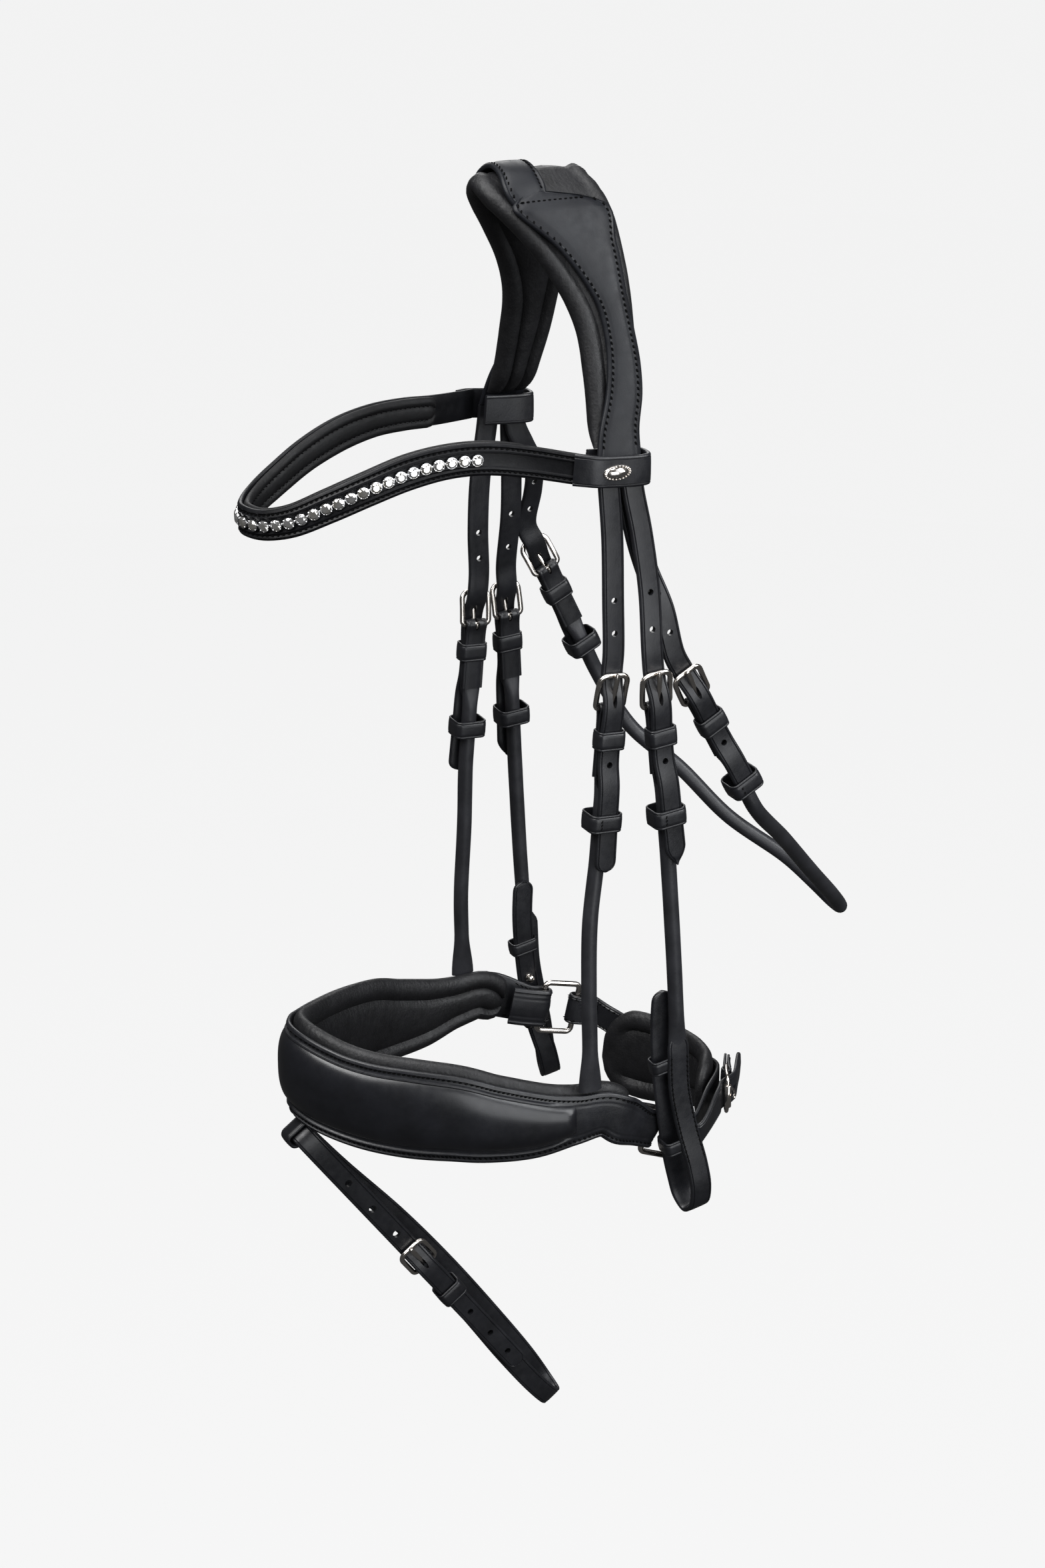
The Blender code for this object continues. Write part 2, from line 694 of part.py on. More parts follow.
# ---------------------------------------------------------------- throat latch
THROAT_RUNNERS = {"near": -0.060, "far": -0.0535}
ROLL_FROM = 0.0445
THROAT_ROLL = [
    (0.0590, 0.1290, -0.3590),
    (0.0360, 0.1630, -0.3950),
    (0.0150, 0.1930, -0.4260),
    (0.0040, 0.2050, -0.4395),
    (-0.0060, 0.2060, -0.4400),
    (-0.0150, 0.1990, -0.4310),
    (-0.0300, 0.1880, -0.4180),
    (-0.0490, 0.1580, -0.3930),
    (-0.0640, 0.1330, -0.3630),
    (-0.0775, 0.1060, -0.3360),
]


def throat_strap(side_name, buckle):
    """The strap, buckle, tongue and runner of one side."""
    tops = THROAT_STRAP_TOPS[side_name]
    strap = buckled_strap(f"throat_strap_{side_name}", tops, buckle, 0.066)
    end = buckle.at(0.030, 0.0)
    punched(strap, buckle, [between(tops[-2], tops[-1], 0.6), between(tops[-1], end, 0.5)], (-0.0300,))
    buckle.frame(f"throat_buckle_{side_name}")
    buckle.tongue(f"throat_tongue_{side_name}")
    buckle.runner(f"throat_runner_{side_name}", THROAT_RUNNERS[side_name])


def far_billet(buckle):
    """The far end of the throat latch, ready to be joined to its roll."""
    points = widths(buckle.chape_points(0.038), buckle.width)
    points += [(*buckle.at(-0.040, 0.00105), buckle.width), (*buckle.at(-0.048, 0.0), 0.006)]
    mesh = ribbon_mesh("far_throat_billet", points[::-1], buckle.across, tip="point", tip_length=0.010)
    obj = add_helper("far_throat_billet", mesh)
    thicken(obj, CHAPE)
    boolean(obj, buckle.chape_slot("slot_throat_far"), "DIFFERENCE")
    boolean(obj, buckle.fixed_keeper("keeper_throat_far"), "UNION")
    return obj


def throat_latch():
    """One rolled strap under the throat, buckled at both ends to a strap from the headpiece."""
    near = side_buckle(THROAT_BUCKLES, "near")
    far = side_buckle(THROAT_BUCKLES, "far")
    throat_strap("near", near)
    throat_strap("far", far)
    obj = billet(near, "throat_latch", "throat_near")
    down = [near.at(-ROLL_FROM - more, 0) for more in (0.0, 0.020, 0.036)]
    up = [far.at(-ROLL_FROM - more, 0) for more in (0.030, 0.015, 0.0)]
    points = [tuple(p) for p in down] + THROAT_ROLL + [tuple(p) for p in up]
    boolean(obj, helper_tube("roll_throat", points, ROLL_RADIUS, step=0.020), "UNION")
    boolean(obj, far_billet(far), "UNION")


# ---------------------------------------------------------------- browband
# Half of its centre line from the front to the rear of its loop: x, y, z, height
BROWBAND = [
    (0.0000, -0.1610, -0.1512, 0.0160),
    (0.0130, -0.1565, -0.1512, 0.0160),
    (0.0250, -0.1455, -0.1485, 0.0165),
    (0.0345, -0.1285, -0.1418, 0.0172),
    (0.0415, -0.1100, -0.1338, 0.0175),
    (0.0460, -0.0890, -0.1265, 0.0180),
    (0.0495, -0.0690, -0.1228, 0.0175),
    (0.0530, -0.0500, -0.1225, 0.0172),
    (0.0585, -0.0290, -0.1245, 0.0168),
    (0.0690, -0.0060, -0.1270, 0.0164),
    (0.0736, 0.0020, -0.1280, 0.0164),
    (0.0748, 0.0150, -0.1294, 0.0164),
    (0.0746, 0.0280, -0.1302, 0.0164),
]
BROWBAND_RETURN = [
    (0.0732, 0.0318, -0.1303, 0.0164),
    (0.0698, 0.0334, -0.1303, 0.0164),
    (0.0640, 0.0334, -0.1303, 0.0164),
    (0.0605, 0.0318, -0.1302, 0.0164),
    (0.0593, 0.0280, -0.1301, 0.0164),
    (0.0593, 0.0180, -0.1296, 0.0164),
    (0.0593, 0.0035, -0.1285, 0.0164),
]
# The near half hangs a little higher between these distances from the middle
BROWBAND_LIFT = 0.0024
BROWBAND_LIFT_FROM = (0.020, 0.036, 0.053, 0.069)
BROWBAND_STRAP = 0.0025
BROWBAND_PADDING = 0.0042


def both_sides(half):
    """A near-side list from the middle out, made whole from the far end to the near end."""
    far = [(-row[0], *row[1:]) for row in half[:0:-1]]
    return far + list(half)


def lifted(rows):
    """Rows of the browband with the near half lifted."""
    lifts = [BROWBAND_LIFT * np.interp(x, BROWBAND_LIFT_FROM, (0, 1, 1, 0)) for x, *_ in rows]
    return [(x, y, z + lift, width) for (x, y, z, width), lift in zip(rows, lifts)]


def moved_in(points, distance):
    """Rows moved towards the horse in plan, square to their line."""
    rows = np.array(points, float)
    along = tangents(rows[:, :3])
    inward = unit(np.stack([-along[:, 1], along[:, 0], np.zeros(len(rows))], axis=1))
    rows[:, :3] += inward * distance
    return [tuple(row) for row in rows]


def browband():
    line = lifted(both_sides(BROWBAND))
    returns = [(-row[0], *row[1:]) for row in BROWBAND_RETURN[::-1]]
    line = returns + line + BROWBAND_RETURN
    ribbon("browband_strap", line, (0, 0, 1), BROWBAND_STRAP)
    padding = lifted(both_sides(BROWBAND[:9]))
    inset = BROWBAND_STRAP / 2 + BROWBAND_PADDING / 2 + 0.0004
    ribbon("browband_padding", moved_in(padding, inset), (0, 0, 1), BROWBAND_PADDING, look=SOFT)
    chain = [(x, y, z, 0.0064) for x, y, z, _ in lifted(both_sides(BROWBAND[:8]))]
    proud = BROWBAND_STRAP / 2 + 0.0013 + 0.0007
    ribbon("crystal_chain", moved_in(chain, -proud), (0, 0, 1), 0.0026, look=CRYSTAL)
    browband_stud()


def browband_stud():
    """A plain domed lozenge on the near loop."""
    shape = bmesh.new()
    bmesh.ops.create_cone(shape, cap_ends=True, segments=8, radius1=1.0, radius2=0.55, depth=1.0)
    bmesh.ops.scale(shape, vec=(0.0085, 0.0040, 0.0016), verts=shape.verts)
    mesh = bpy.data.meshes.new("browband_stud")
    shape.to_mesh(mesh)
    shape.free()
    obj = add_part("browband_stud", mesh, METAL)
    obj.rotation_euler = (math.radians(90), 0, math.radians(92))
    obj.location = (0.0748 + BROWBAND_STRAP / 2 + 0.0017, 0.0125, -0.1292)


# ---------------------------------------------------------------- noseband
# Half of the pad's middle line: x, y, top z, bottom z
NOSEBAND = [
    (0.0000, -0.1370, -0.4385, -0.4965),
    (0.0110, -0.1335, -0.4410, -0.4990),
    (0.0225, -0.1257, -0.4450, -0.5020),
    (0.0350, -0.1130, -0.4485, -0.5055),
    (0.0475, -0.0940, -0.4515, -0.5090),
    (0.0575, -0.0736, -0.4555, -0.5110),
    (0.0640, -0.0561, -0.4620, -0.5130),
    (0.0705, -0.0317, -0.4695, -0.5130),
    (0.0750, -0.0101, -0.4740, -0.5080),
    (0.0765, 0.0072, -0.4755, -0.5060),
]
TAB_ENDS = {
    "near": ((0.0760, 0.0385, -0.5110), (-0.08, 0.90, -0.42)),
    "far": ((-0.0745, 0.0460, -0.5060), (0.10, 0.96, -0.22)),
}
LINK_WIRE = 0.0016
LINK_LENGTH = 0.0225
LINK_HEIGHT = 0.0310
LINK_CORNER = 0.0032
NOSE_STEP = 0.009
NOSE_GAP = 0.0010
TAB_WIDTH = 0.0235
CHIN_STRAP = 0.0022
CHIN_WIDTH = 0.0180


def noseband_line(distance, top_trim=0.0, bottom_trim=0.0, last=10):
    """Rows x, y, z, height of a layer of the noseband, moved out by distance."""
    rows = []
    for x, y, top, bottom in NOSEBAND[:last]:
        top, bottom = top - top_trim, bottom + bottom_trim
        rows.append((x, y, (top + bottom) / 2, top - bottom))
    return moved_in(both_sides(rows), -distance)


class TabEnd:
    """Where a noseband tab folds round its link: the front bar, and the way back to the rear bar."""

    def __init__(self, side_name):
        front, back = TAB_ENDS[side_name]
        self.sign = SIDES[side_name]
        self.front = Vector(front)
        self.back = Vector(back).normalized()
        out = Vector((self.sign, 0, 0))
        self.out = (out - out.dot(self.back) * self.back).normalized()
        self.bar = self.out.cross(self.back) * self.sign
        self.rear = self.front + self.back * LINK_LENGTH

    def around(self, centre, radius, degrees):
        """Points round a bar: 0 is backwards and 90 is outwards."""
        points = []
        for angle in degrees:
            turn = math.radians(angle)
            points.append(centre + self.back * radius * math.cos(turn) + self.out * radius * math.sin(turn))
        return points


def tab_route(end):
    """The facing's end: back along the outside, round the link's front bar, and inside again."""
    radius = LINK_WIRE + 0.0008 + FACING / 2
    points = [end.front - end.back * 0.008 + end.out * (radius + 0.0004)]
    points += end.around(end.front, radius, range(90, -91, -30))
    points += [end.front - end.back * 0.012 - end.out * (radius - 0.0006)]
    return [(*point, TAB_WIDTH) for point in points]


def noseband():
    pad_ends = [(0.0768, 0.0180, -0.4975, 0.0280)]
    pad_line = noseband_line(0.0)
    far_end = [(-x, y, z, w) for x, y, z, w in pad_ends]
    ribbon("noseband_pad", far_end + pad_line + pad_ends, (0, 0, 1), PAD, look=SOFT, step=NOSE_STEP)
    lift = PAD / 2 + NOSE_GAP + FACING / 2
    facing = noseband_line(lift, 0.0035, 0.0)
    near, far = TabEnd("near"), TabEnd("far")
    far_part = [(-0.0840, 0.0180, -0.4960, 0.0280)]
    near_part = [(0.0840, 0.0175, -0.4985, 0.0285)]
    middle = far_part + facing + near_part
    far_tab, near_tab = tab_route(far)[::-1], tab_route(near)
    sides = [far.bar] * len(far_tab) + [Vector((0, 0, 1))] * len(middle) + [near.bar] * len(near_tab)
    ribbon("noseband_facing", far_tab + middle + near_tab, sides, FACING, step=NOSE_STEP)
    raised = noseband_line(lift + FACING / 2 + NOSE_GAP + 0.0021, 0.0100, 0.0090, last=9)
    ribbon("noseband_raised_panel", raised, (0, 0, 1), 0.0042, step=NOSE_STEP)
    for side_name, end in (("near", near), ("far", far)):
        link(side_name, end)
    chin(near, far)


def link(side_name, end):
    half_bar = LINK_HEIGHT / 2
    middle = end.front + end.back * LINK_LENGTH / 2
    points = [
        middle + end.bar * a + end.back * b
        for a, b in outline_ring(half_bar, LINK_LENGTH / 2, LINK_CORNER, steps=3)
    ]
    tube(f"link_{side_name}", points, LINK_WIRE, METAL, closed=True)


CHIN_LINE = [
    (-0.0590, 0.0850, -0.5170),
    (-0.0440, 0.0990, -0.5270),
    (-0.0220, 0.1120, -0.5300),
    (0.0000, 0.1170, -0.5290),
    (0.0200, 0.1135, -0.5235),
    (0.0370, 0.1040, -0.5185),
    (0.0520, 0.0900, -0.5175),
]
CHIN_PAD = [
    (-0.0550, 0.0790, -0.5310, 0.0480),
    (-0.0400, 0.0930, -0.5330, 0.0580),
    (-0.0190, 0.1055, -0.5320, 0.0540),
    (0.0000, 0.1100, -0.5290, 0.0460),
    (0.0180, 0.1070, -0.5260, 0.0420),
    (0.0320, 0.0990, -0.5225, 0.0400),
    (0.0430, 0.0888, -0.5200, 0.0360),
]
CRANK_HEEL = (0.0410, 0.1080, -0.5165)
CRANK_DOWN = (-0.79, 0.61, -0.05)


def crank_buckle():
    return Buckle(CRANK_HEEL, CRANK_DOWN, (0.61, 0.79, 0.0), width=CHIN_WIDTH)


def chin_strap_ends(near, far):
    """The chin strap's centre where it folds round the far link, and round the near one."""
    fold = LINK_WIRE + 0.0012 + CHIN_STRAP / 2
    start = [far.rear + far.back * 0.012 - far.out * fold]
    start += far.around(far.rear, fold, range(-90, -271, -30))
    start += [far.rear + far.back * 0.008 + far.out * (fold + 0.0002)]
    turn = [near.rear + near.back * 0.009 - near.out * fold]
    turn += near.around(near.rear, fold, range(-90, -271, -30))
    turn += [near.rear + near.back * 0.009 + near.out * (fold + 0.0006)]
    return start, turn


# The chin strap's tail through its buckle: how far up from the heel bar, and how far out
CRANK_TAIL = [
    (0.0260, -0.0007),
    (0.0185, -0.0007),
    (0.0130, 0.0012),
    (0.0080, 0.0038),
    (0.0030, 0.0051),
    (-0.0010, 0.0052),
    (-0.0080, 0.0048),
    (-0.0180, 0.0042),
    (-0.0280, 0.0040),
]


def chin(near, far):
    """The padded chin strap: one strap from the far link, through the near link and back to a buckle."""
    ribbon("chin_pad", CHIN_PAD, (0, 0, 1), 0.0080, look=SOFT)
    start, turn = chin_strap_ends(near, far)
    buckle = crank_buckle()
    tail = [buckle.at(up, out) for up, out in CRANK_TAIL]
    points = [tuple(p) for p in start] + CHIN_LINE + [tuple(p) for p in turn + tail]
    upright = buckle.across if buckle.across.z > 0 else -buckle.across
    sides = [far.bar] * len(start) + [Vector((0, 0, 1))] * len(CHIN_LINE)
    sides += [near.bar] * len(turn) + [upright] * len(tail)
    strap = ribbon("chin_strap", widths(points, CHIN_WIDTH), sides, CHIN_STRAP, tip="round")
    boolean(strap, buckle.tongue_slot("slot_chin_strap"), "DIFFERENCE")
    buckle.frame("crank_buckle")
    buckle.tongue("crank_tongue", lift=0.0009)
    crank_roller(buckle)
    crank_chape(buckle)


def crank_roller(buckle):
    """A short tube that turns on the top bar."""
    centre = buckle.at(FRAME_LENGTH, FRAME_RISE)
    turns = 12
    circle = [(math.cos(math.tau * k / turns), math.sin(math.tau * k / turns)) for k in range(turns)]
    half = buckle.width / 2 + FRAME_SIDE + WIRE - FRAME_TOP_CORNER - 0.0006
    points = []
    for radius, across in ((0.0016, -half), (0.0022, -half), (0.0022, half), (0.0016, half)):
        for a, b in circle:
            spoke = buckle.up * (radius * a) + buckle.out * (radius * b)
            points.append(centre + spoke + buckle.across * across)
    faces = []
    for ring_index in range(4):
        for k in range(turns):
            a, b = ring_index * turns, (ring_index + 1) % 4 * turns
            faces.append((a + k, a + (k + 1) % turns, b + (k + 1) % turns, b + k))
    mesh = bpy.data.meshes.new("crank_roller")
    mesh.from_pydata(points, [], faces)
    outward(mesh)
    add_part("crank_roller", mesh, METAL)


def crank_chape(buckle):
    """Leather folded round the heel bar, its two ends brought together on the chin strap."""
    fold = WIRE + 0.0004 + CHAPE / 2
    points = [buckle.at(-0.020, -0.0032), buckle.at(-0.012, -0.0026), buckle.at(-0.005, -0.0018)]
    points += buckle.fold(fold)
    points += [buckle.at(-0.005, 0.0010), buckle.at(-0.012, -0.0005), buckle.at(-0.019, -0.0012)]
    rows = widths([tuple(point) for point in points], CHIN_WIDTH)
    chape = ribbon("crank_chape", rows, buckle.across, CHAPE)
    boolean(chape, buckle.chape_slot("slot_crank_chape"), "DIFFERENCE")


# ---------------------------------------------------------------- flash strap
FLASH_TOP = Vector((0.0, -0.1420, -0.5070))
FLASH_DOWN = Vector((0.0, 0.5800, -0.8145)).normalized()
FLASH_SIDE = Vector((0.0, 0.8145, 0.5800)).normalized()
FLASH_LENGTH = 0.272
FLASH_HEEL = 0.1235
FLASH_WIDTH = 0.0125
FLASH_STRAP = 0.0022


def flash_point(down, x, aside=0.0):
    return FLASH_TOP + FLASH_DOWN * down + FLASH_SIDE * aside + Vector((x, 0, 0))


def flash_buckle():
    return Buckle(flash_point(FLASH_HEEL, 0.0095), FLASH_DOWN, (1, 0, 0), width=FLASH_WIDTH)


# The strap's run below its chape, as flash_point arguments: down the near side and up the far side
FLASH_RUN = [
    (0.2150, 0.0085, -0.0018),
    (0.2480, 0.0085, -0.0018),
    (0.2650, 0.0065, -0.0005),
    (0.2708, 0.0000, 0.0010),
    (0.2650, -0.0065, 0.0025),
    (0.2430, -0.0085, 0.0050),
    (0.2000, -0.0095, 0.0068),
    (0.1500, -0.0100, 0.0075),
    (0.1000, -0.0105, 0.0060),
    (0.0450, -0.0105, 0.0015),
    (0.0120, -0.0100, 0.0000),
    (0.0030, -0.0080, 0.0000),
    (0.0000, -0.0050, 0.0000),
    (0.0000, 0.0050, 0.0000),
    (0.0030, 0.0080, 0.0000),
    (0.0120, 0.0100, 0.0000),
    (0.0500, 0.0100, 0.0000),
]
# Its tail through the buckle: how far up from the heel bar, and how far out
FLASH_TAIL = [
    (0.0300, 0.0000),
    (0.0185, 0.0002),
    (0.0130, 0.0014),
    (0.0080, 0.0038),
    (0.0030, 0.0051),
    (-0.0010, 0.0054),
    (-0.0060, 0.0052),
    (-0.0130, 0.0046),
    (-0.0450, 0.0042),
    (-0.0750, 0.0042),
    (-0.1000, 0.0042),
]
FLASH_CHAPE_BACK = [(-0.0200, -0.0016), (-0.0100, -0.0016), (-0.0040, -0.0018)]
FLASH_CHAPE_FRONT = [(-0.0040, 0.0018), (-0.0100, 0.0014), (-0.0450, 0.0005)]


def flash_strap(buckle):
    """One strap: from its buckle down, round, up the far side, through its loop and back down."""
    points = [buckle.at(up, out) for up, out in FLASH_CHAPE_BACK]
    points += buckle.fold(WIRE + 0.0004 + FLASH_STRAP / 2)
    points += [buckle.at(up, out) for up, out in FLASH_CHAPE_FRONT]
    points += [flash_point(*place) for place in FLASH_RUN]
    points += [buckle.at(up, out) for up, out in FLASH_TAIL]
    rows = widths([tuple(p) for p in points], FLASH_WIDTH)
    strap = ribbon("flash_strap", rows, FLASH_SIDE, FLASH_STRAP, tip="round")
    boolean(strap, buckle.tongue_slot("slot_flash"), "DIFFERENCE")
    boolean(strap, buckle.chape_slot("slot_flash_chape"), "DIFFERENCE")


def flash():
    """The flash strap, the loop it hangs from, its buckle and its keeper."""
    centre = FLASH_TOP + FLASH_DOWN * 0.0006
    ring("flash_loop", centre, FLASH_SIDE, -FLASH_DOWN, 0.0084, 0.0040, 0.0100, thickness=0.0018)
    buckle = flash_buckle()
    flash_strap(buckle)
    buckle.frame("flash_buckle")
    buckle.tongue("flash_tongue")
    back, front = -0.0042, 0.0070
    centre = buckle.at(-0.0250, (back + front) / 2)
    ring("flash_keeper", centre, buckle.across, buckle.out, 0.0074, (front - back) / 2, KEEPER_WIDTH)


# ---------------------------------------------------------------- joints
NOSEBAND_PIVOT = (0.0, 0.0110, -0.1284)
THROAT_PIVOT = (0.0, 0.0240, -0.1340)
CHEEK_PIVOTS = {"near": (0.0704, 0.0243, -0.1385), "far": (-0.0704, 0.0243, -0.1385)}

BROWBAND_PIECES = ["browband_strap", "browband_padding", "crystal_chain", "browband_stud"]
NOSEBAND_PIECES = ["noseband_pad", "noseband_facing", "noseband_raised_panel", "flash_loop"]
CHIN_PIECES = ["chin_pad", "chin_strap", "crank_buckle", "crank_chape"]
FLASH_PIECES = ["flash_strap", "flash_buckle", "flash_keeper"]


def carry(obj, empty):
    """Hangs a piece on an empty, with everything that cuts it or is joined to it."""
    obj.parent = empty
    obj.matrix_parent_inverse = empty.matrix_world.inverted()
    for modifier in obj.modifiers:
        if modifier.type == "BOOLEAN":
            carry(modifier.object, empty)


def joint(name, place, axis, carried):
    """An empty on a joint, its own Z along the joint's axis, that carries what moves there."""
    empty = bpy.data.objects.new(name, None)
    empty.empty_display_size = 0.02
    empty.location = place
    empty.rotation_mode = "QUATERNION"
    empty.rotation_quaternion = Vector((0, 0, 1)).rotation_difference(Vector(axis))
    PARTS.objects.link(empty)
    bpy.context.view_layer.update()
    for piece in carried:
        carry(bpy.data.objects[piece], empty)
    return name


def tongue_joint(name, buckle):
    return joint(f"{name}_turn", buckle.heel, buckle.across, [name])


def strap_joints(kind, buckle, side_name):
    """The joints of one side strap's buckle tongue and runner."""
    runner = f"{kind}_runner_{side_name}"
    return [
        tongue_joint(f"{kind}_tongue_{side_name}", buckle),
        joint(f"{runner}_slide", buckle.heel, buckle.up, [runner]),
    ]


def noseband_joints():
    """The noseband's swing, which carries the flash strap, both links and the chin strap."""
    near, far = TabEnd("near"), TabEnd("far")
    crank = crank_buckle()
    bar = crank.at(FRAME_LENGTH, FRAME_RISE)
    on_chin = [tongue_joint("crank_tongue", crank)]
    on_chin += [joint("crank_roller_turn", bar, crank.across, ["crank_roller"])]
    chin_turn = joint("chin_turn", near.rear, near.bar, CHIN_PIECES + on_chin)
    carried = [joint("link_near_turn", near.front, near.bar, ["link_near", chin_turn])]
    carried += [joint("link_far_turn", far.front, far.bar, ["link_far"])]
    on_flash = [tongue_joint("flash_tongue", flash_buckle())]
    carried += [joint("flash_swing", FLASH_TOP, (1, 0, 0), FLASH_PIECES + on_flash)]
    for side_name in SIDES:
        carried += strap_joints("hanger", side_buckle(HANGER_BUCKLES, side_name), side_name)
        carried += [f"hanger_strap_{side_name}", f"hanger_buckle_{side_name}", f"hanger_{side_name}"]
    joint("noseband_swing", NOSEBAND_PIVOT, (-1, 0, 0), NOSEBAND_PIECES + carried)


def cheek_joints(side_name, sign):
    """One cheekpiece's swing, which carries its bit strap."""
    carried = strap_joints("cheek", side_buckle(CHEEK_BUCKLES, side_name), side_name)
    for kind in ("cheek_strap", "cheek_buckle", "cheekpiece", "bit_strap", "hook_stud"):
        carried.append(f"{kind}_{side_name}")
    joint(f"cheek_{side_name}_swing", CHEEK_PIVOTS[side_name], (0, -sign, 0), carried)


def throat_joints():
    """The throat latch's swing, which carries both of its straps and buckles."""
    carried = ["throat_latch"]
    for side_name in SIDES:
        carried += strap_joints("throat", side_buckle(THROAT_BUCKLES, side_name), side_name)
        carried += [f"throat_strap_{side_name}", f"throat_buckle_{side_name}"]
    joint("throat_latch_swing", THROAT_PIVOT, (1, 0, 0), carried)


def build():
    headpiece_pad()
    for side_name, sign in SIDES.items():
        headpiece_panel(side_name, sign)
    poll_bridge()
    hangers()
    cheeks()
    bit_ends()
    throat_latch()
    browband()
    noseband()
    flash()


def add_joints():
    joint("browband_slide", BROWBAND[-1][:3], (0, 0, 1), BROWBAND_PIECES)
    noseband_joints()
    for side_name, sign in SIDES.items():
        cheek_joints(side_name, sign)
    throat_joints()


build()
add_joints()
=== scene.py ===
"""The looks of the snaffle bridle: padded leather, straps, stitching, buckles and crystals.

Metres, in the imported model's frame: +Z up, the nose at -Y, the near side (the horse's left) at +X.
"""

import math
import random

import bmesh
import bpy
import numpy as np
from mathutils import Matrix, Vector, noise


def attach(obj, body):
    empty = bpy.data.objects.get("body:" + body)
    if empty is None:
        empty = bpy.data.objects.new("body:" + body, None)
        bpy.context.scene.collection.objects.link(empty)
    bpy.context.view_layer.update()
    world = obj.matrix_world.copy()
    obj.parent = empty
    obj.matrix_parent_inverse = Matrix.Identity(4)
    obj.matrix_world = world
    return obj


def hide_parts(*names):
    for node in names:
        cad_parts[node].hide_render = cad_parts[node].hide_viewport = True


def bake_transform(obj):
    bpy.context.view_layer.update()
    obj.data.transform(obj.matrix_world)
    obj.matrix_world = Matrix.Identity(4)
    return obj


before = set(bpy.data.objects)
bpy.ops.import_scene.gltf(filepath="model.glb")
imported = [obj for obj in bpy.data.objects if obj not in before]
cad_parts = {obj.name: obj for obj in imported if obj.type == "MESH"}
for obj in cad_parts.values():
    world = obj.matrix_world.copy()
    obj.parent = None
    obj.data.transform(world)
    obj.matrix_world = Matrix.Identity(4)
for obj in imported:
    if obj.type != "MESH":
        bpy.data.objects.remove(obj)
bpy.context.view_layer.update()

STRAP = 0.0028
STRAP_WIDTH = 0.0125
CHAPE = 0.0015
ROLL = 0.0043
WIRE = 0.0012
FRAME_LENGTH = 0.0185
FRAME_RISE = 0.0034
TAIL_OUT = 0.0040
TAIL_ON_ROLL = 0.0062
STRAP_TAIL = 0.090
THROAT_TAIL = 0.066
FLAT_END = (0.0058, 0.0010, 0.016)
HEEL_GAP = 0.0004
HEEL_SLOT = (0.0008, 0.0, 0.0078)
TAIL_HOLE = -0.0300
KEEPER_WALL = 0.0013
KEEPER_WIDTH = 0.0105
RUNNER_WIDTH = 0.0100
SIDES = {"near": 1, "far": -1}
UP = Vector((0, 0, 1))
SHARP = math.radians(42)


# ---------------------------------------------------------------- node materials
class Shader:
    """A material with a Principled shader, and short ways to add the nodes it needs."""

    def __init__(self, name, **sockets):
        self.material = bpy.data.materials.new(name)
        self.material.use_nodes = True
        self.tree = self.material.node_tree
        self.shader = self.tree.nodes["Principled BSDF"]
        self.place = self.tree.nodes.new("ShaderNodeTexCoord").outputs["Object"]
        self.bump_from = None
        for socket, value in sockets.items():
            self.shader.inputs[socket.replace("_", " ")].default_value = value

    def link(self, source, target):
        self.tree.links.new(source, target)

    def noise(self, scale, detail=3.0, stretch=None):
        node = self.tree.nodes.new("ShaderNodeTexNoise")
        node.inputs["Scale"].default_value = scale
        node.inputs["Detail"].default_value = detail
        self.link(self.stretched(stretch), node.inputs["Vector"])
        return node.outputs["Fac"]

    def cells(self, scale, feature="F1"):
        node = self.tree.nodes.new("ShaderNodeTexVoronoi")
        node.feature = feature
        node.inputs["Scale"].default_value = scale
        self.link(self.place, node.inputs["Vector"])
        return node.outputs["Distance"]

    def stretched(self, stretch):
        if stretch is None:
            return self.place
        node = self.tree.nodes.new("ShaderNodeMapping")
        node.inputs["Scale"].default_value = stretch
        self.link(self.place, node.inputs["Vector"])
        return node.outputs["Vector"]

    def ramp(self, source, low, high, to_low, to_high):
        node = self.tree.nodes.new("ShaderNodeMapRange")
        for key, value in (("From Min", low), ("From Max", high), ("To Min", to_low), ("To Max", to_high)):
            node.inputs[key].default_value = value
        self.link(source, node.inputs["Value"])
        return node.outputs["Result"]

    def color(self, source, low, high):
        node = self.tree.nodes.new("ShaderNodeMix")
        node.data_type = "RGBA"
        node.inputs["A"].default_value = (*low, 1)
        node.inputs["B"].default_value = (*high, 1)
        self.link(source, node.inputs["Factor"])
        self.link(node.outputs["Result"], self.shader.inputs["Base Color"])

    def roughness(self, source, low, high):
        self.link(self.ramp(source, 0.3, 0.7, low, high), self.shader.inputs["Roughness"])

    def bump(self, source, strength, distance):
        node = self.tree.nodes.new("ShaderNodeBump")
        node.inputs["Strength"].default_value = strength
        node.inputs["Distance"].default_value = distance
        self.link(source, node.inputs["Height"])
        if self.bump_from:
            self.link(self.bump_from, node.inputs["Normal"])
        self.bump_from = node.outputs["Normal"]
        self.link(self.bump_from, self.shader.inputs["Normal"])


def leather(name, dark, light, rough, grain, gloss=0.0, pore=900.0, shine=0.5, creased=None):
    """Dyed leather: pores, a fine pebble, broad colour change and a waxed surface."""
    made = Shader(name, Coat_Weight=gloss, Coat_Roughness=0.22, Specular_IOR_Level=shine)
    made.color(made.ramp(made.noise(55.0, 4.0), 0.35, 0.7, 0.0, 1.0), dark, light)
    made.roughness(made.noise(240.0, 5.0), *rough)
    made.bump(made.cells(pore), grain, 0.00010)
    made.bump(made.noise(2600.0, 4.0), grain * 0.7, 0.00006)
    made.bump(made.noise(120.0, 3.0), 0.25, 0.00025)
    if creased:
        made.bump(made.noise(150.0, 4.0, creased), 0.55, 0.00060)
    return made.material


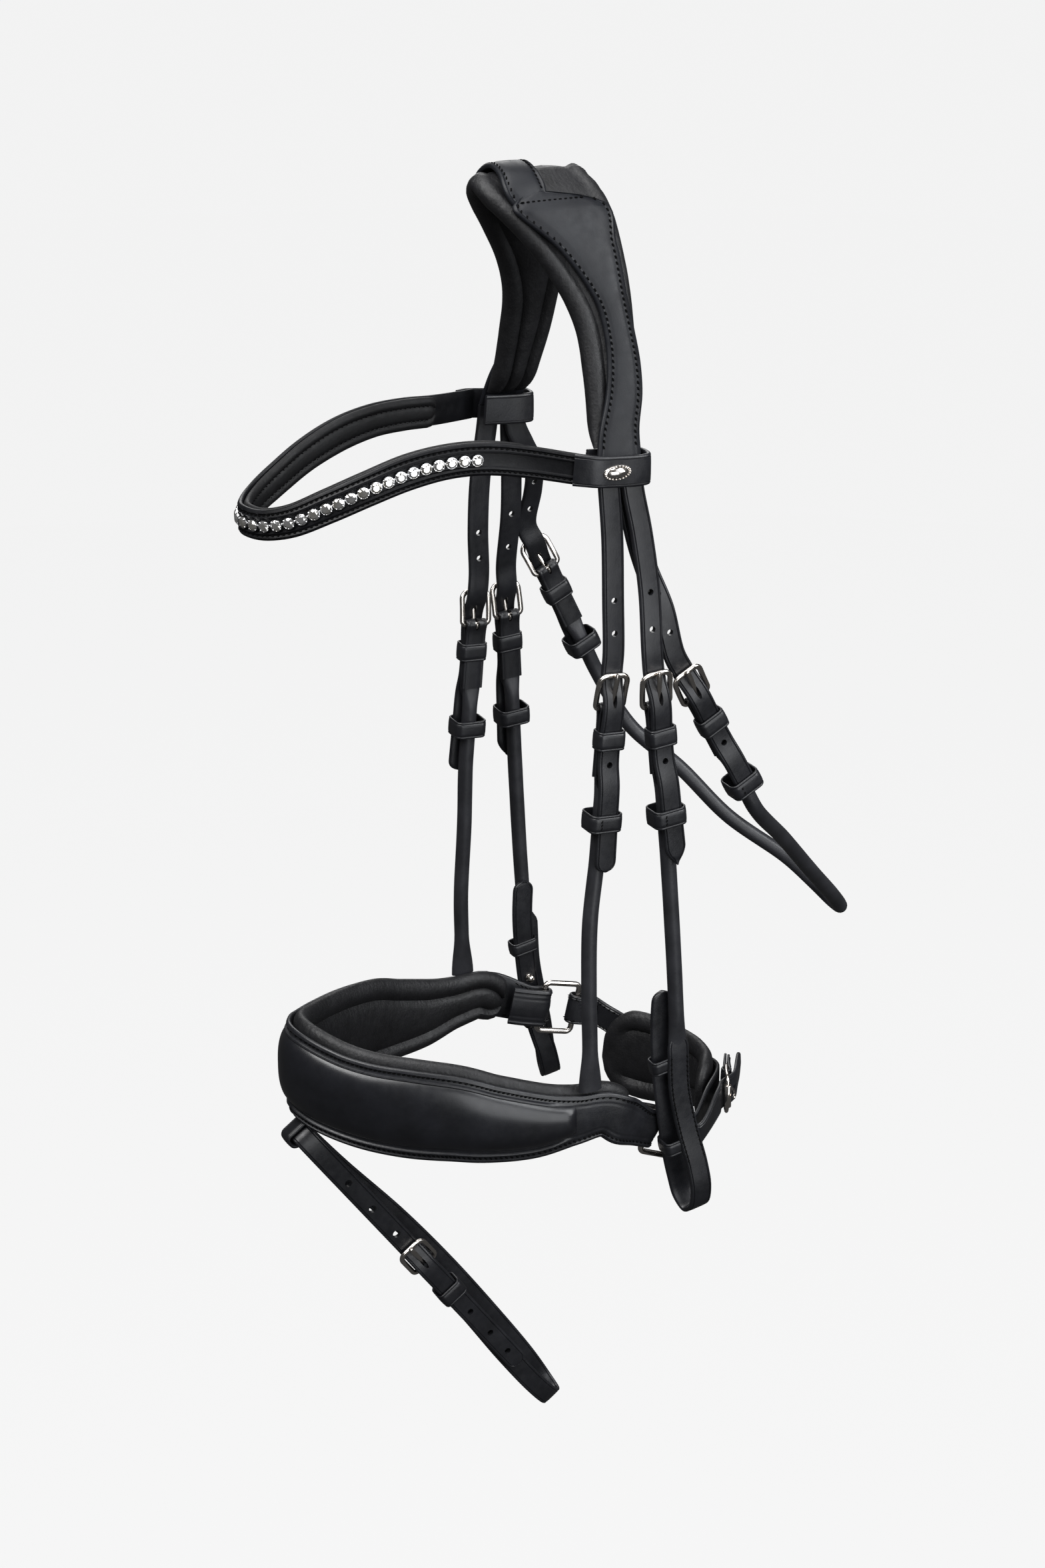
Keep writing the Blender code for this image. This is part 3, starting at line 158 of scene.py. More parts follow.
def metal(name, tint, rough):
    """Polished plate with fine scratches and slight clouding."""
    made = Shader(name, Metallic=1.0, Base_Color=(*tint, 1))
    made.roughness(made.noise(420.0, 5.0), *rough)
    made.bump(made.noise(900.0, 3.0, (1.0, 1.0, 14.0)), 0.10, 0.00004)
    return made.material


STRAP_LEATHER = leather("strap_leather", (0.0075, 0.0078, 0.0095), (0.0135, 0.014, 0.017), (0.30, 0.44), 0.22)
ROLL_LEATHER = leather("roll_leather", (0.015, 0.0155, 0.018), (0.026, 0.0265, 0.031), (0.34, 0.48), 0.22)
BAND_LEATHER = leather(
    "band_leather", (0.0040, 0.0041, 0.0050), (0.0075, 0.0078, 0.0095), (0.32, 0.46), 0.22, shine=0.22
)
PANEL_LEATHER = leather(
    "panel_leather", (0.0065, 0.007, 0.0092), (0.011, 0.012, 0.015), (0.38, 0.50), 0.14, shine=0.28
)
GLOSSY = leather(
    "glossy_leather", (0.006, 0.0063, 0.008), (0.010, 0.0105, 0.0135), (0.30, 0.38), 0.05, gloss=0.2
)
SOFT = leather(
    "soft_leather",
    (0.006, 0.006, 0.0068),
    (0.011, 0.011, 0.0125),
    (0.44, 0.58),
    0.85,
    pore=620.0,
    shine=0.4,
    creased=(3.2, 3.2, 0.8),
)
LINING = leather(
    "lining_leather",
    (0.004, 0.004, 0.0045),
    (0.0075, 0.0075, 0.0085),
    (0.5, 0.66),
    0.8,
    pore=560.0,
    shine=0.3,
)
# Black thread, made darker than any leather so that its colour also paints the shade of the stitch holes.
THREAD_AND_HOLE_SHADE = Shader(
    "thread", Base_Color=(0.0012, 0.0012, 0.0014, 1), Roughness=0.9, Specular_IOR_Level=0.12
).material
NICKEL = metal("nickel", (0.80, 0.75, 0.70), (0.10, 0.22))
CUP = metal("cup_metal", (0.74, 0.74, 0.75), (0.12, 0.24))


def crystal_material():
    """Foil-backed cut crystal: bright facets with slight changes from one stone to the next."""
    made = Shader("crystal", Metallic=0.92, Coat_Weight=0.6, Coat_Roughness=0.02)
    spread = made.ramp(made.noise(160.0, 1.0), 0.35, 0.65, 0.0, 1.0)
    made.color(spread, (0.80, 0.77, 0.70), (0.97, 0.97, 0.98))
    made.roughness(made.noise(300.0), 0.03, 0.08)
    return made.material


CRYSTAL = crystal_material()


def paper_material():
    """Plain pale studio paper with a faint mottle, lit evenly."""
    made = Shader("studio_paper", Roughness=0.95, Emission_Strength=0.88, Emission_Color=(1, 1, 1, 1))
    made.color(made.noise(0.7, 1.0), (0.02, 0.02, 0.02), (0.03, 0.03, 0.03))
    return made.material


PAPER = paper_material()


# ---------------------------------------------------------------- curves through points
def smooth(points, per_span=24):
    """Dense rows along a centripetal Catmull-Rom curve through rows whose first three are x, y, z."""
    rows = np.array(points, float)
    rows = np.vstack([2 * rows[0] - rows[1], rows, 2 * rows[-1] - rows[-2]])
    out = []
    for i in range(1, len(rows) - 2):
        p = rows[i - 1 : i + 3]
        gaps = [max(np.linalg.norm(p[k + 1][:3] - p[k][:3]), 1e-6) ** 0.5 for k in range(3)]
        t0, t1, t2, t3 = np.cumsum([0.0] + gaps)
        for t in np.linspace(t1, t2, per_span, endpoint=False):
            a1 = ((t1 - t) * p[0] + (t - t0) * p[1]) / (t1 - t0)
            a2 = ((t2 - t) * p[1] + (t - t1) * p[2]) / (t2 - t1)
            a3 = ((t3 - t) * p[2] + (t - t2) * p[3]) / (t3 - t2)
            b1 = ((t2 - t) * a1 + (t - t0) * a2) / (t2 - t0)
            b2 = ((t3 - t) * a2 + (t - t1) * a3) / (t3 - t1)
            out.append(((t2 - t) * b1 + (t - t1) * b2) / (t2 - t1))
    out.append(rows[-2])
    return np.array(out)


def unit(vectors):
    return vectors / np.maximum(np.linalg.norm(vectors, axis=-1, keepdims=True), 1e-12)


def tangents(centre):
    steps = unit(np.diff(centre, axis=0))
    inner = unit(steps[:-1] + steps[1:])
    return np.vstack([steps[:1], inner, steps[-1:]])


class Route:
    """A line with its direction, its width's direction and the way out of its face at each place."""

    def __init__(self, points, side, step=0.0020, tip=0.0, turn=0.17):
        sides = np.array([tuple(each) for each in side] if np.ndim(side) > 1 else tuple(side), float)
        sides = np.broadcast_to(sides, (len(points), 3))
        dense = smooth(np.hstack([np.array(points, float), sides]))
        spans = np.linalg.norm(np.diff(dense[:, :3], axis=0), axis=1)
        lengths = np.concatenate([[0], np.cumsum(spans)])
        places = self.spaced(dense[:, :3], lengths, step, turn)
        if tip:
            fine = lengths[-1] - tip * (1 - np.sin(np.linspace(0, math.pi / 2, 12)))
            places = [p for p in places if p < fine[0] - step * 0.4] + list(fine)
        self.places = np.array(places)
        rows = np.stack([np.interp(places, lengths, dense[:, k]) for k in range(dense.shape[1])], axis=1)
        self.centre = rows[:, :3]
        self.extra = rows[:, 3:-3]
        self.along = tangents(self.centre)
        sides = rows[:, -3:]
        self.across = unit(sides - (sides * self.along).sum(axis=1, keepdims=True) * self.along)
        self.out = np.cross(self.along, self.across)
        self.length = self.places[-1]

    def spaced(self, line, lengths, step, turn):
        """Places along the line: never further apart than step, and closer where it turns."""
        directions = tangents(line)
        kept = [0]
        for i in range(1, len(line) - 1):
            far = lengths[i] - lengths[kept[-1]] >= step
            if far or directions[i] @ directions[kept[-1]] < math.cos(turn):
                kept.append(i)
        if lengths[-1] - lengths[kept[-1]] < step * 0.3:
            kept.pop()
        return [lengths[i] for i in kept] + [lengths[-1]]

    def at(self, place, a=0.0, n=0.0):
        """A point at a distance along the line, moved across and out."""
        values = [self.column(table, place) for table in (self.centre, self.across, self.out)]
        return values[0] + unit(values[1]) * a + unit(values[2]) * n

    def column(self, table, place):
        return np.array([np.interp(place, self.places, table[:, k]) for k in range(table.shape[1])])

    def direction(self, place):
        return unit(self.column(self.along, place))


# ---------------------------------------------------------------- meshes
class Mesh:
    """Points and faces gathered for one piece, each face with its material."""

    def __init__(self):
        self.points = []
        self.faces = []
        self.slots = []
        self.materials = []

    def add(self, points, faces, material):
        if material not in self.materials:
            self.materials.append(material)
        start = len(self.points)
        self.points += [tuple(point) for point in points]
        self.faces += [tuple(index + start for index in face) for face in faces]
        self.slots += [self.materials.index(material)] * len(faces)

    def rings(self, rings, material, closed=False, caps=True):
        """Skins a list of rings of points, each with the same count."""
        count = len(rings[0])
        faces = []
        for i in range(len(rings) if closed else len(rings) - 1):
            a, b = i * count, (i + 1) % len(rings) * count
            for k in range(count):
                faces.append((a + k, a + (k + 1) % count, b + (k + 1) % count, b + k))
        if caps and not closed:
            faces.append(tuple(range(count))[::-1])
            faces.append(tuple(range((len(rings) - 1) * count, len(rings) * count)))
        self.add([point for ring in rings for point in ring], faces, material)

    def data(self, name):
        mesh = bpy.data.meshes.new(name)
        mesh.from_pydata(self.points, [], self.faces)
        for material in self.materials:
            mesh.materials.append(material)
        mesh.polygons.foreach_set("material_index", self.slots)
        shape = bmesh.new()
        shape.from_mesh(mesh)
        bmesh.ops.recalc_face_normals(shape, faces=shape.faces)
        shape.to_mesh(mesh)
        shape.free()
        return mesh


def show(
    name, mesh, body, replaced=(), flat=False, cutter=None, trim=None, folded=False
):
    """Makes the piece, cuts its holes, adds its trim, and rides it on its body."""
    obj = bpy.data.objects.new(name, mesh.data(name))
    bpy.context.scene.collection.objects.link(obj)
    if cutter:
        cut(obj, cutter, folded)
    if trim and trim.points:
        join(obj, trim)
    if not flat:
        obj.data.shade_smooth()
        obj.data.set_sharp_from_angle(angle=SHARP)
    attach(obj, body)
    if replaced:
        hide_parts(*replaced)
    return obj


def cut(obj, cutter, folded=False):
    """Cuts holes. folded is for a strap that passes through itself closely."""
    helper = bpy.data.objects.new("cutter", cutter.data("cutter"))
    bpy.context.scene.collection.objects.link(helper)
    modifier = obj.modifiers.new("holes", "BOOLEAN")
    modifier.operation = "DIFFERENCE"
    modifier.use_self = folded
    modifier.object = helper
    bpy.context.view_layer.update()
    graph = bpy.context.evaluated_depsgraph_get()
    mesh = bpy.data.meshes.new_from_object(obj.evaluated_get(graph))
    obj.modifiers.clear()
    obj.data = mesh
    bpy.data.objects.remove(helper, do_unlink=True)


def join(obj, trim):
    """Adds loose trim, such as stitches, to a finished piece."""
    extra = trim.data("trim")
    for material in trim.materials:
        if obj.data.materials.find(material.name) < 0:
            obj.data.materials.append(material)
    found = {i: obj.data.materials.find(m.name) for i, m in enumerate(trim.materials)}
    shape = bmesh.new()
    shape.from_mesh(obj.data)
    before = len(shape.faces)
    shape.from_mesh(extra)
    shape.faces.ensure_lookup_table()
    for face in shape.faces[before:]:
        face.material_index = found[face.material_index]
    shape.to_mesh(obj.data)
    shape.free()
    bpy.data.meshes.remove(extra)


# ---------------------------------------------------------------- cross-sections
def rounded_edge(half, rise, soft, low=-1.35, high=1.35, count=7):
    """Points round the right edge, between two angles. soft is how far in the rounding starts."""
    return [(half - soft + soft * math.cos(t), rise * math.sin(t)) for t in np.linspace(low, high, count)]


def creased_face(half, rise, crease, depth, shoulder, crown):
    """The right half of a face: a creased line, the shoulder inside it and the crowned middle."""
    line = min(crease, half * 0.55)
    return [
        (half - line + 0.00040, rise),
        (half - line, rise - depth),
        (half - line - 0.00040, rise + shoulder),
        (half * 0.35, rise + crown),
    ]


def flat_backed(right, half, rise):
    """The right half of a face with its mirror image, closed by a flat back."""
    return right + [(-a, n) for a, n in right[::-1]] + [(-half * 0.4, -rise), (half * 0.4, -rise)]


def strap_section(width, thickness, crease=0.0016, depth=0.00042, crown=0.00018):
    """A cut strap: round edges, and a creased line inside each edge of its face."""
    half, rise = width / 2, thickness / 2
    right = rounded_edge(half, rise, min(rise * 0.9, half * 0.5))
    right += creased_face(half, rise, crease, depth, crown * 0.4, crown)
    return flat_backed(right, half, rise)


def oval_section(half_a, half_n, power=2.0, count=24, turn=0.0):
    """A superellipse."""
    points = []
    for k in range(count):
        angle = math.tau * k / count + turn
        c, s = math.cos(angle), math.sin(angle)
        a = half_a * math.copysign(abs(c) ** (2 / power), c)
        n = half_n * math.copysign(abs(s) ** (2 / power), s)
        points.append((a, n))
    return points


def sweep(mesh, route, section, material, closed=False):
    """Skins one cross-section per place of the route. section(place, extra) gives (across, out) pairs."""
    rings = []
    for i, place in enumerate(route.places):
        ring = []
        for a, n in section(place, route.extra[i]):
            ring.append(route.centre[i] + route.across[i] * a + route.out[i] * n)
        rings.append(ring)
    mesh.rings(rings, material, closed=closed)


def tip_share(kind, back, length):
    """The share of the full width left at a distance back from a strap's tip."""
    if back >= length:
        return 1.0
    u = 1 - back / length
    if kind == "point":
        return max(1 - u**1.7, 0.05)
    return max(math.sqrt(max(1 - u**2.4, 0.0)), 0.06)


# ---------------------------------------------------------------- stitches, holes
def stitch(mesh, centre, lean, out, length=0.0022, radius=0.00042):
    """One thread along lean, sunk at both ends."""
    side = np.cross(lean, out)
    turns = (0.0, 1.257, 2.513, 3.770, 5.027)
    rings = []
    for t, lift, size in ((-0.5, -1.3, 0.6), (-0.28, 0.4, 1.0), (0.28, 0.4, 1.0), (0.5, -1.3, 0.6)):
        middle = centre + lean * (length * t) + out * (radius * lift)
        rings.append([middle + (side * math.cos(g) + out * math.sin(g)) * radius * size for g in turns])
    # The thread's near-black colour also paints the shade in the stitch holes.
    mesh.rings(rings, THREAD_AND_HOLE_SHADE)


def inset_row(route, which, inset):
    """A line that runs inside one edge of a route whose extra value is its width."""
    return lambda place: which * (route.column(route.extra, place)[0] / 2 - inset)


def stitches(mesh, route, a, n, start, stop, pitch=0.0030, slant=0.35):
    """A row of slanted stitches along a route. a is one offset or a function of place."""
    count = max(int(abs(stop - start) / pitch), 1)
    for k in range(count):
        place = start + (stop - start) * (k + 0.5) / count
        offset = a(place) if callable(a) else a
        along = route.direction(place)
        across = unit(route.column(route.across, place))
        out = unit(route.column(route.out, place))
        lean = along * math.cos(slant) + across * math.sin(slant) * (1 if offset >= 0 else -1)
        stitch(mesh, route.at(place, offset, n), lean, out)


def cylinder(mesh, centre, through, radius, depth, material, wide=None, count=18):
    """A round or oval punch. wide gives its longer half-axis as a vector."""
    through = Vector(through).normalized()
    first = Vector(wide) if wide is not None else through.orthogonal().normalized() * radius
    second = through.cross(first).normalized() * radius
    rings = []
    for share in (-0.5, 0.5):
        middle = Vector(centre) + through * depth * share
        rings.append(
            [
                middle + first * math.cos(math.tau * k / count) + second * math.sin(math.tau * k / count)
                for k in range(count)
            ]
        )
    mesh.rings(rings, material)


def turned(count, profile, point):
    """The rings of a turned shape. point(angle, *row) places one angle of a profile row."""
    angles = [math.tau * k / count for k in range(count)]
    return [[point(angle, *row) for angle in angles] for row in profile]


def dome(mesh, centre, out, radius, height, material, count=14):
    """A low round dome on a surface."""
    out = Vector(out).normalized()
    first = out.orthogonal().normalized()
    second = out.cross(first)
    profile = [(1.0, -0.4), (1.0, 0.15), (0.85, 0.6), (0.5, 0.92), (0.12, 1.0)]

    def point(t, r, h):
        return Vector(centre) + out * height * h + (first * math.cos(t) + second * math.sin(t)) * radius * r

    mesh.rings(turned(count, profile, point), material)


# ---------------------------------------------------------------- wires, bands and tubes
def outline_ring(half_a, half_b, corner, steps=2):
    """Points of a rounded rectangle in its own plane."""
    points = []
    for quarter in range(4):
        ca = (half_a - corner) * (1 if quarter in (0, 3) else -1)
        cb = (half_b - corner) * (1 if quarter in (0, 1) else -1)
        for k in range(steps + 1):
            angle = math.pi / 2 * (quarter + k / steps)
            points.append((ca + corner * math.cos(angle), cb + corner * math.sin(angle)))
    return points


def filled(outline, step=0.0025):
    """The same closed outline with points added along its straight sides."""
    out = []
    for (a0, b0), (a1, b1) in zip(outline, outline[1:] + outline[:1]):
        count = max(int(math.hypot(a1 - a0, b1 - b0) / step), 1)
        out += [(a0 + (a1 - a0) * k / count, b0 + (b1 - b0) * k / count) for k in range(count)]
    return out


def loop_sweep(mesh, points, normal, section, material):
    """Skins a section round a closed loop of points. section gives (outwards in the plane, along normal)."""
    points = [Vector(point) for point in points]
    normal = Vector(normal).normalized()
    middle = sum(points, Vector()) / len(points)
    rings = []
    for i, point in enumerate(points):
        along = (points[(i + 1) % len(points)] - points[i - 1]).normalized()
        aside = along.cross(normal).normalized()
        if aside.dot(point - middle) < 0:
            aside = -aside
        rings.append([point + aside * a + normal * n for a, n in section])
    mesh.rings(rings, material, closed=True)


def band(mesh, centre, axis_a, axis_b, half_a, half_b, width, thickness, corner=0.0022):
    """A leather keeper round a rounded rectangle, with creased edges. Its width lies along a x b."""
    axis_a, axis_b = Vector(axis_a), Vector(axis_b)
    through = axis_a.cross(axis_b).normalized()
    outline = filled(outline_ring(half_a, half_b, corner, steps=5))
    points = [Vector(centre) + axis_a * a + axis_b * b for a, b in outline]
    section = [(n, a) for a, n in strap_section(width, thickness, crease=0.0013, depth=0.00020)]
    loop_sweep(mesh, points, through, section, STRAP_LEATHER)


def tube_section(radius, seam=0.00035, count=18):
    """A round rolled strap with its butted seam as a shallow groove at the back."""
    points = []
    for k in range(count):
        angle = math.tau * k / count
        dip = seam * math.exp(-(((angle - 1.5 * math.pi) / 0.20) ** 2))
        points.append(((radius - dip) * math.cos(angle), (radius - dip) * math.sin(angle)))
    return points


def rolled(mesh, route, radius, starts=None, ends=None):
    """Rolled leather that flattens at its ends. starts and ends are (half width, half thickness, reach)."""

    def section(place, _):
        half_a = half_n = radius
        for shape, back in ((starts, place), (ends, route.length - place)):
            if shape and back < shape[2]:
                u = back / shape[2]
                u = u * u * (3 - 2 * u)
                half_a = shape[0] + (radius - shape[0]) * u
                half_n = shape[1] + (radius - shape[1]) * u
        wobble = 1 + 0.012 * noise.noise(Vector((place * 90.0, radius * 1000, 0.0)))
        return [(a / radius * half_a * wobble, n / radius * half_n * wobble) for a, n in tube_section(radius)]

    sweep(mesh, route, section, ROLL_LEATHER)


def wire_section(half_in_plane, half_out, count=14, power=2.4):
    return oval_section(half_in_plane, half_out, power, count)


# ---------------------------------------------------------------- a buckle and what runs through it
class Buckle:
    """Places a buckle: its heel bar's centre, the way up to its top bar and the way out."""

    def __init__(self, heel, down, out, width=STRAP_WIDTH):
        self.heel = Vector(heel)
        self.up = -Vector(down).normalized()
        out = Vector(out)
        self.out = (out - out.dot(self.up) * self.up).normalized()
        self.across = self.up.cross(self.out)
        self.width = width
        self.half_frame = width / 2 + 0.0007 + WIRE

    def at(self, up, out, across=0.0):
        return self.heel + self.up * up + self.out * out + self.across * across

    def arc(self, radius, degrees):
        """Points round the heel bar."""
        angles = [math.radians(angle) for angle in degrees]
        return [self.at(radius * math.cos(angle), radius * math.sin(angle)) for angle in angles]

    def heel_fold(self, thickness):
        """Points of leather folded round the heel bar."""
        return self.arc(WIRE + HEEL_GAP + thickness / 2, range(-120, 121, 20))

    def frame(self, name, body):
        middle = FRAME_LENGTH / 2
        top = outline_ring(self.half_frame, middle, 0.0042, steps=8)
        heel = outline_ring(self.half_frame, middle, 0.0024, steps=6)
        outline = [p for p in top if p[1] > 0.001] + [p for p in heel if p[1] < -0.001]
        rings = []
        points = []
        for a, b in filled(outline, 0.0016):
            up = b + middle
            points.append(self.at(up, FRAME_RISE * (max(up, 0) / FRAME_LENGTH) ** 1.5, a))
        centre = self.at(middle, 0)
        for i, point in enumerate(points):
            along = (points[(i + 1) % len(points)] - points[i - 1]).normalized()
            away = along.cross(self.out).normalized()
            if away.dot(point - centre) < 0:
                away = -away
            lift = away.cross(along).normalized()
            rings.append([point + away * a + lift * n for a, n in wire_section(0.00150, 0.00108)])
        mesh = Mesh()
        mesh.rings(rings, NICKEL, closed=True)
        return show(f"{name}_wire", mesh, body, [name])

    def tongue(self, name, body, lift=0.0):
        points = self.arc(WIRE + 0.0003 + 0.0009, (-70, -100, -130, -160, -185, -210, 125, 100, 82))
        points += [self.at(0.0055, 0.0036), self.at(0.011, 0.0050 + lift * 0.6)]
        points += [self.at(0.0165, 0.0061 + lift), self.at(0.0205, 0.0063 + lift)]
        route = Route([tuple(p) for p in points], tuple(self.across), step=0.0010)

        def section(place, _):
            back = route.length - place
            size = 0.00088 + 0.00042 * min(max((place - 0.006) / 0.012, 0), 1)
            if back < 0.0015:
                size *= math.sqrt(max(1 - (1 - back / 0.0015) ** 2, 0.02))
            return oval_section(size * 1.08, min(size, 0.00095), 2.2, 12)

        mesh = Mesh()
        sweep(mesh, route, section, NICKEL)
        return show(f"{name}_wire", mesh, body, [name])

    def strap_points(self, tail, aside=0.0):
        """The strap's centre from above the top bar, over the heel bar and down to its tip."""
        route = [(0.030, 0.0), (0.0185, 0.0), (0.013, 0.0012), (0.008, 0.0036), (0.003, 0.0049)]
        route += [(-0.001, 0.0051), (-0.006, 0.0048), (-0.013, TAIL_OUT), (-0.030, TAIL_OUT)]
        points = [tuple(self.at(up, out)) for up, out in route]
        for up in (-0.042, -0.062, -tail):
            points.append(tuple(self.at(up, TAIL_ON_ROLL, aside * (up + 0.030) / (0.030 - tail))))
        return points

    def chape_points(self, inner_end):
        """Leather folded round the heel bar, from its end on the horse's side to its outer layer."""
        points = [self.at(-inner_end, -0.00105), self.at(-0.012, -0.00105), self.at(-0.004, -0.0014)]
        points += self.heel_fold(CHAPE)
        points += [self.at(-0.004, 0.0014), self.at(-0.012, 0.00105)]
        return [tuple(point) for point in points]

    def slot_cutter(self, cutter, up, out, length):
        """A round-ended slot for the tongue."""
        cylinder(cutter, self.at(up, out), self.out, 0.0013, 0.010, STRAP_LEATHER, wide=self.up * length / 2)


def billet(mesh, trim, cutter, buckle, inner_end=0.038):
    """The folded and stitched leather that holds a buckle, with its fixed keeper."""
    points = buckle.chape_points(inner_end)
    outer_end = inner_end + 0.002
    points += [tuple(buckle.at(-0.026, 0.00115)), tuple(buckle.at(-outer_end, 0.0016))]
    points += [tuple(buckle.at(-outer_end - 0.0095, 0.0030))]
    route = Route(points, tuple(buckle.across), step=0.0018, tip=0.012)
    half = buckle.width / 2

    def share(place):
        return tip_share("point", route.length - place, 0.0125)

    def section(place, _):
        return strap_section(buckle.width * max(share(place), 0.12), CHAPE, depth=0.00012)

    sweep(mesh, route, section, STRAP_LEATHER)
    buckle.slot_cutter(cutter, *HEEL_SLOT)
    start = route.length - (outer_end + 0.0095) + 0.022
    stop = route.length - 0.0035
    for w in (1, -1):
        stitches(trim, route, lambda p: w * (half * share(p) - 0.0014), CHAPE / 2, start, stop, pitch=0.0027)
    back, front = -0.0018, TAIL_OUT + STRAP / 2 + 0.0008 + KEEPER_WALL / 2
    keeper, deep = buckle.at(-0.0165, (back + front) / 2), (front - back) / 2
    band(mesh, keeper, buckle.across, buckle.out, half + 0.00115, deep, KEEPER_WIDTH, KEEPER_WALL)


def runner(buckle, name, at, body):
    back = -(ROLL + 0.0005 + KEEPER_WALL / 2)
    front = TAIL_ON_ROLL + STRAP / 2 + 0.0007 + KEEPER_WALL / 2
    centre, deep = buckle.at(at, (back + front) / 2), (front - back) / 2
    half = buckle.width / 2 + 0.0019 + KEEPER_WALL / 2
    mesh, trim = Mesh(), Mesh()
    band(mesh, centre, buckle.across, buckle.out, half, deep, RUNNER_WIDTH, KEEPER_WALL, corner=0.0034)
    seam = Route(
        [tuple(buckle.at(at - 0.0030, front, -0.0040)), tuple(buckle.at(at + 0.0030, front, -0.0040))],
        tuple(buckle.across),
    )
    if seam.out[0] @ np.array(buckle.out) < 0:
        seam.out = -seam.out
    stitches(trim, seam, 0.0, 0.00068, 0, seam.length, pitch=0.0020, slant=0.5)
    return show(f"{name}_leather", mesh, body, [name], trim=trim)


def buckled_strap(name, tops, buckle, tail, holes, aside=0.0, tip="round"):
    """A strap from behind the browband through its buckle: creased, punched and slotted."""
    route = Route(tops + buckle.strap_points(tail, aside), tuple(buckle.across), tip=0.010)

    def section(place, _):
        share = tip_share(tip, route.length - place, 0.0105 if tip == "point" else 0.0062)
        return strap_section(STRAP_WIDTH * share, STRAP * (0.82 if share < 0.5 else 1.0))

    mesh, cutter = Mesh(), Mesh()
    sweep(mesh, route, section, STRAP_LEATHER)
    buckle.slot_cutter(cutter, 0.0062, 0.0042, 0.0095)
    for point in holes:
        cylinder(cutter, point, buckle.out, 0.0017, 0.0075, STRAP_LEATHER)
    obj = bpy.data.objects.new(f"{name}_leather", mesh.data(name))
    bpy.context.scene.collection.objects.link(obj)
    cut(obj, cutter)
    obj.data.shade_smooth()
    obj.data.set_sharp_from_angle(angle=SHARP)
    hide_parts(name)
    top = Vector(tops[0])
    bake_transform(obj)
    return obj


HANGER_BUCKLES = {
    "near": ((0.0760, 0.0095, -0.2560), (0.0010, -0.0074, -0.0933)),
    "far": ((-0.0755, 0.0045, -0.2565), (-0.0010, -0.0052, -0.0710)),
}
CHEEK_BUCKLES = {
    "near": ((0.0835, 0.0335, -0.2560), (0.0030, 0.0088, -0.1030)),
    "far": ((-0.0835, 0.0290, -0.2575), (-0.0030, 0.0056, -0.0915)),
}
THROAT_BUCKLES = {
    "near": ((0.0790, 0.0603, -0.2575), (0.0000, 0.0400, -0.0740)),
    "far": ((-0.0840, 0.0540, -0.2332), (0.0005, 0.0230, -0.0480)),
}
HANGER_STRAP_TOPS = {
    "near": [
        (0.0690, 0.0106, -0.1284),
        (0.0706, 0.0108, -0.1380),
        (0.0722, 0.0122, -0.1644),
        (0.0747, 0.0118, -0.1975),
    ],
    "far": [
        (-0.0690, 0.0104, -0.1284),
        (-0.0704, 0.0098, -0.1400),
        (-0.0718, 0.0060, -0.1720),
        (-0.0738, 0.0056, -0.2020),
    ],
}
CHEEK_STRAP_TOPS = {
    "near": [
        (0.0690, 0.0243, -0.1284),
        (0.0706, 0.0246, -0.1400),
        (0.0735, 0.0285, -0.1640),
        (0.0772, 0.0316, -0.1950),
    ],
    "far": [
        (-0.0690, 0.0243, -0.1284),
        (-0.0706, 0.0243, -0.1400),
        (-0.0735, 0.0262, -0.1640),
        (-0.0772, 0.0276, -0.1950),
    ],
}
THROAT_STRAP_TOPS = {
    "near": [
        (0.0640, 0.0240, -0.1284),
        (0.0650, 0.0252, -0.1450),
        (0.0668, 0.0285, -0.1650),
        (0.0703, 0.0335, -0.1850),
        (0.0764, 0.0403, -0.2060),
    ],
    "far": [
        (-0.0640, 0.0240, -0.1284),
        (-0.0643, 0.0240, -0.1400),
        (-0.0652, 0.0300, -0.1530),
        (-0.0682, 0.0375, -0.1665),
        (-0.0788, 0.0422, -0.1845),
    ],
}
RUNNER_AT = -0.062
HANGER_ROLLS = {
    "near": [(0.0785, -0.0018, -0.3761), (0.0803, -0.0030, -0.4150), (0.0810, -0.0024, -0.4500)],
    "far": [(-0.0782, -0.0022, -0.3790), (-0.0802, -0.0038, -0.4250), (-0.0810, -0.0032, -0.4520)],
}
HANGER_ROLL_ENDS = {"near": (0.0812, -0.0022, -0.4760), "far": (-0.0812, -0.0027, -0.4760)}
CHEEK_ROLLS = {
    "near": [(0.0878, 0.0450, -0.4050), (0.0886, 0.0472, -0.4450), (0.0889, 0.0477, -0.4575)],
    "far": [(-0.0880, 0.0384, -0.4050), (-0.0886, 0.0414, -0.4450), (-0.0889, 0.0420, -0.4575)],
}


def side_buckle(table, side_name):
    heel, down = table[side_name]
    return Buckle(heel, down, (SIDES[side_name], 0, 0))


def strap_holes(tops, buckle, above):
    """Places of the spare holes: shares of the stretch above the buckle, and one in the tail."""
    end = buckle.at(0.030, 0.0)
    return [Vector(tops[-1]).lerp(end, share) for share in above] + [buckle.at(TAIL_HOLE, TAIL_OUT)]


def rolled_leg(node, body, buckle, lower, ends):
    """Billet, keeper and rolled leather as one sewn piece."""
    mesh, trim, cutter = Mesh(), Mesh(), Mesh()
    billet(mesh, trim, cutter, buckle)
    route = [tuple(buckle.at(-up, 0)) for up in (0.034, 0.044, 0.064, 0.086)] + lower
    rolled(mesh, Route(route, tuple(buckle.across), step=0.003), ROLL, FLAT_END, ends)
    return show(f"{node}_leather", mesh, body, [node], cutter=cutter, trim=trim)


